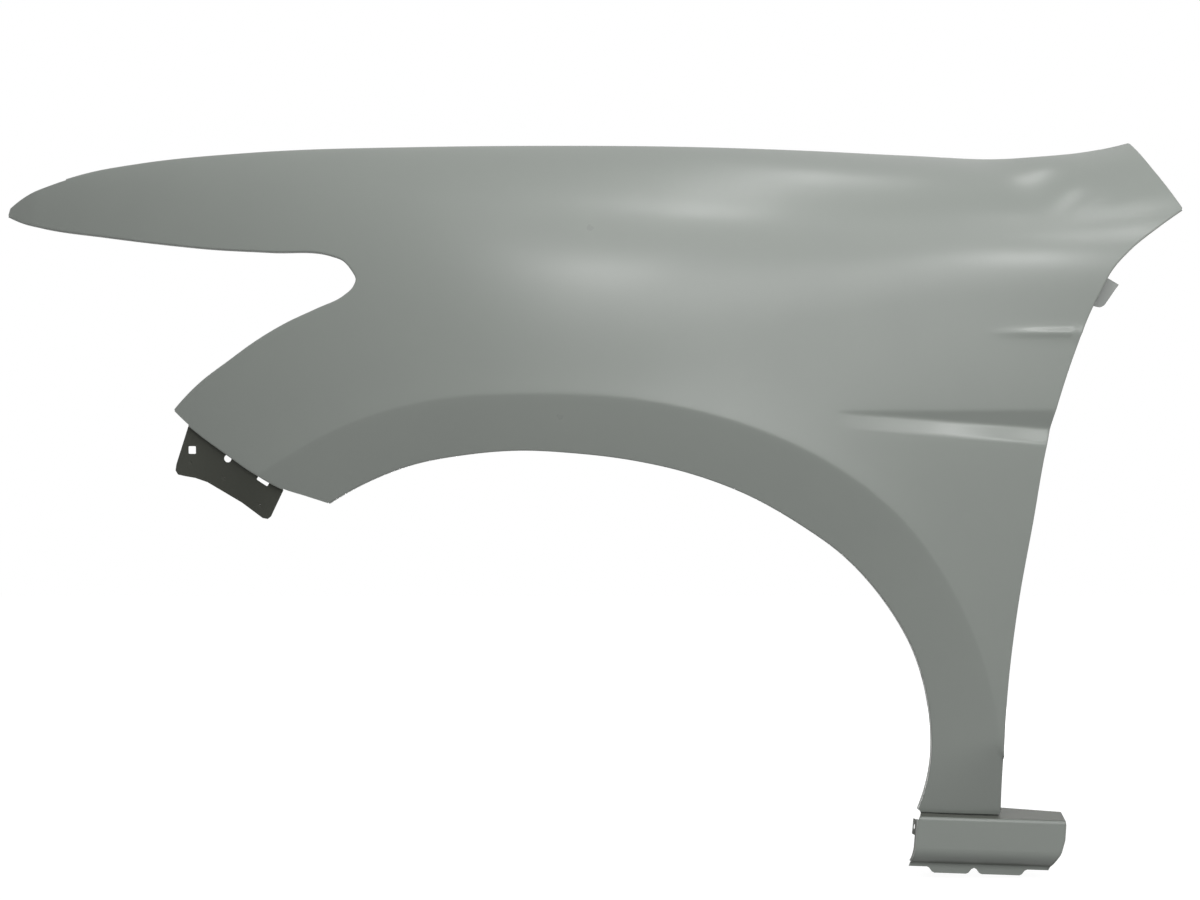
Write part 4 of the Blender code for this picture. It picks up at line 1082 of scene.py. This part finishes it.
@dataclass(frozen=True)
class Primer:
    """Grey electrocoat primer: semi-matt, with a faint mottle, the grain of a thin coat, and a dark colour
    where a mask says so, partly under-coat and partly painted shade.
    """

    name: str
    colour: tuple[float, float, float] = (0.305, 0.331, 0.304)
    shade: tuple[float, float, float] = (0.283, 0.304, 0.285)
    undercoat_and_shade_colour: tuple[float, float, float] = (0.052, 0.054, 0.042)
    undercoat_and_shade_roughness: float = 0.85
    mottle_scale: float = 14.0
    mottle: float = 0.6
    roughness: float = 0.29
    roughness_spread: float = 0.06
    grain_scale: float = 700.0
    grain: float = 0.10
    grain_depth: float = 0.0002
    coat: DarkShare = DarkShare.BARE

    def material(self) -> bpy.types.Material:
        """Builds the finish.

        Returns:
            A material whose pattern follows the piece's Object coordinates.
        """
        material = bpy.data.materials.new(self.name)
        material.use_nodes = True
        tree = material.node_tree
        shader = tree.nodes["Principled BSDF"]
        shader.inputs["Metallic"].default_value = 0.0
        body = place_group(tree, "primer_mottle", {
            "Colour": (*self.colour, 1.0), "Shade": (*self.shade, 1.0), "Scale": self.mottle_scale,
            "Amount": self.mottle, "Roughness": self.roughness, "Spread": self.roughness_spread,
        })
        # The dark colour mixed in by the mask is partly under-coat and partly painted shade on set-back
        # flanges and faces turned from outboard.
        undercoat_and_shade_node = place_group(tree, "undercoat_and_shade_mix", {
            "Undercoat and shade colour": (*self.undercoat_and_shade_colour, 1.0), "Undercoat and shade roughness": self.undercoat_and_shade_roughness,
            "Thickness": self.coat.value,
        })
        grain = place_group(tree, "paint_grain", {"Scale": self.grain_scale})
        reach = tree.nodes.new("ShaderNodeAttribute")
        reach.attribute_name = UNDERCOAT_SHADE_MASK
        bump = tree.nodes.new("ShaderNodeBump")
        bump.inputs["Strength"].default_value = self.grain
        bump.inputs["Distance"].default_value = self.grain_depth
        tree.links.new(body.outputs["Colour"], undercoat_and_shade_node.inputs["Colour"])
        tree.links.new(reach.outputs["Fac"], undercoat_and_shade_node.inputs["Undercoat and shade"])
        tree.links.new(undercoat_and_shade_node.outputs["Colour"], shader.inputs["Base Color"])
        tree.links.new(body.outputs["Roughness"], undercoat_and_shade_node.inputs["Roughness"])
        tree.links.new(undercoat_and_shade_node.outputs["Roughness"], shader.inputs["Roughness"])
        tree.links.new(grain.outputs["Height"], bump.inputs["Height"])
        tree.links.new(bump.outputs["Normal"], shader.inputs["Normal"])
        return material


def new_group(name: str, inputs: tuple[str, ...], outputs: tuple[str, ...]) -> tuple:
    """Starts a shader node group.

    Args:
        name: The group's name.
        inputs: Names of its inputs.
        outputs: Names of its outputs.

    Returns:
        The group, its input node and its output node.
    """
    group = bpy.data.node_groups.new(name, "ShaderNodeTree")
    for direction, names in (("INPUT", inputs), ("OUTPUT", outputs)):
        for socket in names:
            kind = SOCKET_TYPES.get(socket, "NodeSocketFloat")
            group.interface.new_socket(name=socket, in_out=direction, socket_type=kind)
    return group, group.nodes.new("NodeGroupInput"), group.nodes.new("NodeGroupOutput")


def place_group(tree: bpy.types.NodeTree, name: str, values: dict[str, object]) -> bpy.types.Node:
    """Places a node group in a material with its own values."""
    node = tree.nodes.new("ShaderNodeGroup")
    node.node_tree = bpy.data.node_groups[name]
    for socket, value in values.items():
        node.inputs[socket].default_value = value
    return node


def noise(group: bpy.types.NodeTree, entry: bpy.types.Node, detail: float) -> bpy.types.Node:
    """Adds noise on Object coordinates whose scale is the group's Scale input."""
    place, texture = group.nodes.new("ShaderNodeTexCoord"), group.nodes.new("ShaderNodeTexNoise")
    texture.inputs["Detail"].default_value = detail
    group.links.new(place.outputs["Object"], texture.inputs["Vector"])
    group.links.new(entry.outputs["Scale"], texture.inputs["Scale"])
    return texture


def maths(group: bpy.types.NodeTree, operation: str, *values: object) -> bpy.types.NodeSocket:
    """Adds a Math node.

    Args:
        group: The tree that it goes in.
        operation: Its operation.
        values: A number or a socket for each of its inputs.

    Returns:
        Its output.
    """
    node = group.nodes.new("ShaderNodeMath")
    node.operation = operation
    for socket, value in zip(node.inputs, values):
        if isinstance(value, bpy.types.NodeSocket):
            group.links.new(value, socket)
        else:
            socket.default_value = value
    return node.outputs[0]


def mix_colours(
    group: bpy.types.NodeTree, share: object, first: object, second: object
) -> bpy.types.NodeSocket:
    """Adds a mix of two colours, and returns its output."""
    node = group.nodes.new("ShaderNodeMix")
    node.data_type = "RGBA"
    colours = [socket for socket in node.inputs if socket.type == "RGBA"]
    for socket, value in zip((node.inputs[0], *colours), (share, first, second)):
        group.links.new(value, socket)
    return next(socket for socket in node.outputs if socket.type == "RGBA")


def build_groups() -> None:
    """Builds the node groups that every primed piece shares."""
    group, entry, result = new_group(
        "primer_mottle",
        ("Colour", "Shade", "Scale", "Amount", "Roughness", "Spread"),
        ("Colour", "Roughness"),
    )
    cloud = noise(group, entry, CLOUD_DETAIL)
    share = maths(group, "MULTIPLY", cloud.outputs[0], entry.outputs["Amount"])
    tint = mix_colours(group, share, entry.outputs["Colour"], entry.outputs["Shade"])
    group.links.new(tint, result.inputs["Colour"])
    offset = maths(group, "SUBTRACT", cloud.outputs[0], 0.5)
    spread = maths(group, "MULTIPLY", offset, entry.outputs["Spread"])
    group.links.new(maths(group, "ADD", spread, entry.outputs["Roughness"]), result.inputs["Roughness"])

    # Mixes in the dark colour by the mask: partly under-coat, partly painted shade.
    group, entry, result = new_group(
        "undercoat_and_shade_mix", ("Colour", "Roughness", "Undercoat and shade colour", "Undercoat and shade roughness", "Undercoat and shade", "Thickness"),
        ("Colour", "Roughness"),
    )
    share = maths(group, "MULTIPLY", entry.outputs["Undercoat and shade"], entry.outputs["Thickness"])
    tint = mix_colours(group, share, entry.outputs["Colour"], entry.outputs["Undercoat and shade colour"])
    group.links.new(tint, result.inputs["Colour"])
    gain = maths(group, "SUBTRACT", entry.outputs["Undercoat and shade roughness"], entry.outputs["Roughness"])
    gain = maths(group, "MULTIPLY", gain, share)
    group.links.new(maths(group, "ADD", entry.outputs["Roughness"], gain), result.inputs["Roughness"])

    group, entry, result = new_group("paint_grain", ("Scale",), ("Height",))
    group.links.new(noise(group, entry, GRAIN_DETAIL).outputs[0], result.inputs["Height"])


@dataclass(frozen=True)
class Lamp:
    """A soft rectangular lamp that looks at a point."""

    name: str
    place: tuple[float, float, float]
    target: tuple[float, float, float]
    size: Knot
    watts: float

    def add(self) -> None:
        """Adds the lamp to the scene."""
        bpy.ops.object.light_add(type="AREA", location=self.place)
        obj = bpy.context.object
        obj.name = obj.data.name = self.name
        obj.rotation_euler = (Vector(self.target) - Vector(self.place)).to_track_quat("-Z", "Y").to_euler()
        obj.data.shape, obj.data.size, obj.data.size_y = "RECTANGLE", *self.size
        obj.data.energy = self.watts


@dataclass
class Studio:
    """A pale floor, a white backdrop, soft lamps and the camera."""

    carrier: Vector
    floor_gap: float = 0.004
    floor_size: float = 14.0
    floor_colour: tuple[float, float, float] = (0.22, 0.22, 0.22)
    floor_roughness: float = 0.9
    floor_glow: float = 0.87
    floor_reach: float = 3.0
    backdrop: float = 1.0
    ambient: float = 0.10
    camera_from: tuple[float, float, float] = (0.024, -3.600, 0.399)
    lens: float = 94.74
    sensor: float = 36.0
    lamps: tuple[Lamp, ...] = (
        Lamp("key", (0.10, -2.20, 2.00), (0.10, 0.0, -0.15), (2.4, 1.6), 14.0),
        Lamp("front", (-0.50, -3.45, 1.15), (-0.10, 0.0, -0.10), (1.2, 0.9), 12.0),
        Lamp("belly", (0.70, -3.30, 0.60), (0.25, 0.0, 0.0), (1.7, 1.4), 23.5),
        Lamp("belt_glint", (-0.50, -1.99, 0.95), (-0.10, -0.12, -0.05), (0.14, 0.2), 3.5),
        Lamp("shoulder_glint", (-0.10, -1.18, 1.89), (0.0, -0.10, 0.0), (0.14, 0.2), 4.0),
        Lamp("swirl_glint", (0.07, -0.55, 2.08), (0.20, -0.10, 0.10), (0.10, 0.9), 4.5),
        Lamp("sweep_glint", (0.32, 0.20, 2.18), (0.14, -0.40, 0.0), (0.10, 0.6), 3.0),
        Lamp("pillar_glint", (1.16, -1.00, 1.84), (1.14, -0.55, 0.10), (0.07, 0.4), 3.5),
        Lamp("rib_glint", (1.09, -2.05, 0.75), (0.40, -0.10, -0.16), (0.2, 0.2), 6.0),
        Lamp("groove_glint", (1.28, -1.42, 1.25), (0.40, -0.10, -0.27), (0.25, 0.25), 4.0),
        Lamp("inner_fill", (0.3, 2.4, 0.0), (0.0, 0.0, -0.25), (1.8, 1.2), 70.0),
    )

    def build(self) -> None:
        """Sets the whole studio up."""
        for lamp in self.lamps:
            lamp.add()
        self.lay_floor()
        self.light_world()
        self.set_camera()

    def lay_floor(self) -> None:
        """Lays the floor just under the part, off-white there for its shadow and white further out."""
        deselect()
        level = CAD_BOX[0].z - self.floor_gap
        bpy.ops.mesh.primitive_plane_add(size=self.floor_size, location=(0.0, 0.0, level))
        floor = bpy.context.object
        floor.name = "studio_floor"
        material = bpy.data.materials.new("studio_floor")
        material.use_nodes = True
        tree = material.node_tree
        shader = tree.nodes["Principled BSDF"]
        shader.inputs["Base Color"].default_value = (*self.floor_colour, 1.0)
        shader.inputs["Roughness"].default_value = self.floor_roughness
        shader.inputs["Specular IOR Level"].default_value = 0.0
        shader.inputs["Emission Color"].default_value = (1.0, 1.0, 1.0, 1.0)
        place, far = tree.nodes.new("ShaderNodeTexCoord"), tree.nodes.new("ShaderNodeVectorMath")
        far.operation = "LENGTH"
        tree.links.new(place.outputs["Object"], far.inputs[0])
        share = maths(tree, "MINIMUM", maths(tree, "DIVIDE", far.outputs["Value"], self.floor_reach), 1.0)
        gain = maths(tree, "MULTIPLY", share, self.backdrop - self.floor_glow)
        glow = maths(tree, "MULTIPLY", self.seen_rays(tree), maths(tree, "ADD", gain, self.floor_glow))
        tree.links.new(glow, shader.inputs["Emission Strength"])
        floor.data.materials.append(material)

    def seen_rays(self, tree: bpy.types.NodeTree) -> bpy.types.NodeSocket:
        """1 for rays that show the backdrop, straight or in a gloss, and 0 for those that light the part."""
        rays = tree.nodes.new("ShaderNodeLightPath")
        seen = maths(tree, "MAXIMUM", rays.outputs["Is Camera Ray"], rays.outputs["Is Glossy Ray"])
        return maths(tree, "MAXIMUM", seen, rays.outputs["Is Transmission Ray"])

    def light_world(self) -> None:
        """Makes the world a white backdrop that lights the part only softly."""
        world = bpy.context.scene.world or bpy.data.worlds.new("studio")
        bpy.context.scene.world = world
        world.use_nodes = True
        tree = world.node_tree
        background = tree.nodes["Background"]
        background.inputs["Color"].default_value = (1.0, 1.0, 1.0, 1.0)
        lift = maths(tree, "MULTIPLY", self.seen_rays(tree), self.backdrop - self.ambient)
        tree.links.new(maths(tree, "ADD", lift, self.ambient), background.inputs["Strength"])

    def set_camera(self) -> None:
        """Stands the camera square to the panel's side, as the photograph was taken."""
        place = self.carrier + Vector(self.camera_from)
        bpy.ops.object.camera_add(location=place, rotation=(math.pi / 2, 0.0, 0.0))
        camera = bpy.context.object
        camera.name = "photo_camera"
        camera.data.sensor_fit, camera.data.sensor_width = "HORIZONTAL", self.sensor
        camera.data.lens = self.lens
        bpy.context.scene.camera = camera
        bpy.context.scene.view_settings.view_transform = "Standard"


def mark_undercoat_and_shade(obj: bpy.types.Object, form: DrawnForm | None) -> None:
    """Marks how dark each vertex is painted: partly under-coat where the outer coat thins, partly painted
    shade.

    Args:
        obj: The piece, still in the panel's own frame.
        form: The drawn surface that the piece's outer side follows, or None for a small piece, which
            is painted the darker, as shade, the less it faces outboard.
    """
    places, normals = np.empty((2, len(obj.data.vertices) * 3), np.float32)
    obj.data.vertices.foreach_get("co", places)
    obj.data.vertex_normals.foreach_get("vector", normals)
    x, y, z = places.reshape(-1, 3).astype(float).T
    facing = normals.reshape(-1, 3)[:, 1]
    # Faces turned inboard take the under-coat; set-back flanges such as the bumper flange, and on small
    # pieces the up-facing sill ledge, are darkened as painted shade.
    inner = np.maximum(facing, (y - form.depth(x, z)) / UNDERCOAT_SHADE_WRAP - 1) if form else 1 + facing
    obj.data.attributes.new(UNDERCOAT_SHADE_MASK, "FLOAT", "POINT").data.foreach_set("value", ease(inner).astype(np.float32))


def finish_piece(obj: bpy.types.Object, carrier: Vector, material: bpy.types.Material, node: str) -> None:
    """Args:
        obj: The piece, in the panel's own frame.
        carrier: Where that frame stands.
        material: The piece's finish.
        node: The node that it stands for.
    """
    take(obj)
    obj.location = carrier
    bpy.ops.object.transform_apply(location=True, rotation=True, scale=True)
    bpy.ops.object.shade_smooth_by_angle(angle=SMOOTH_ANGLE)
    obj.data.materials.clear()
    obj.data.materials.append(material)
    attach(obj, "root")
    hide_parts(node)
    LOG.info("%s: %d faces", obj.name, len(obj.data.polygons))


def stand_for(obj: bpy.types.Object, node: str) -> Vector:
    """Where the panel's frame stands, so that the low corners of the panel and of its node meet."""
    low = np.min([corner[:] for corner in obj.bound_box], axis=0)
    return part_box(node)[0] - Vector(low)


def main() -> None:
    """Builds the three welded pieces and the studio."""
    logging.basicConfig(level=logging.INFO, format="%(message)s")
    build_groups()
    form = DrawnForm()
    panel = OuterPanel(form)
    outer = panel.build()
    carrier = stand_for(outer, "outer_panel")
    mark_undercoat_and_shade(outer, form)
    finish_piece(outer, carrier, Primer("panel_primer").material(), "outer_panel")
    sill = SillExtension(form, panel).build()
    # The sill's up-facing ledge and tabs are darkened by the mask as painted shade.
    mark_undercoat_and_shade(sill, None)
    primer = Primer("sill_primer", roughness=0.32, coat=DarkShare.MILD)
    finish_piece(sill, carrier, primer.material(), "sill_extension")
    bracket = PillarBracket(form, panel).build()
    mark_undercoat_and_shade(bracket, None)
    # This primer is darker than the panel's as painted shade for the bracket's place behind the door edge.
    primer = Primer("bracket_primer_in_painted_shade", colour=(0.25, 0.265, 0.25), roughness=0.36)
    finish_piece(bracket, carrier, primer.material(), "pillar_bracket")
    Studio(carrier).build()


if __name__ == "__main__":
    main()
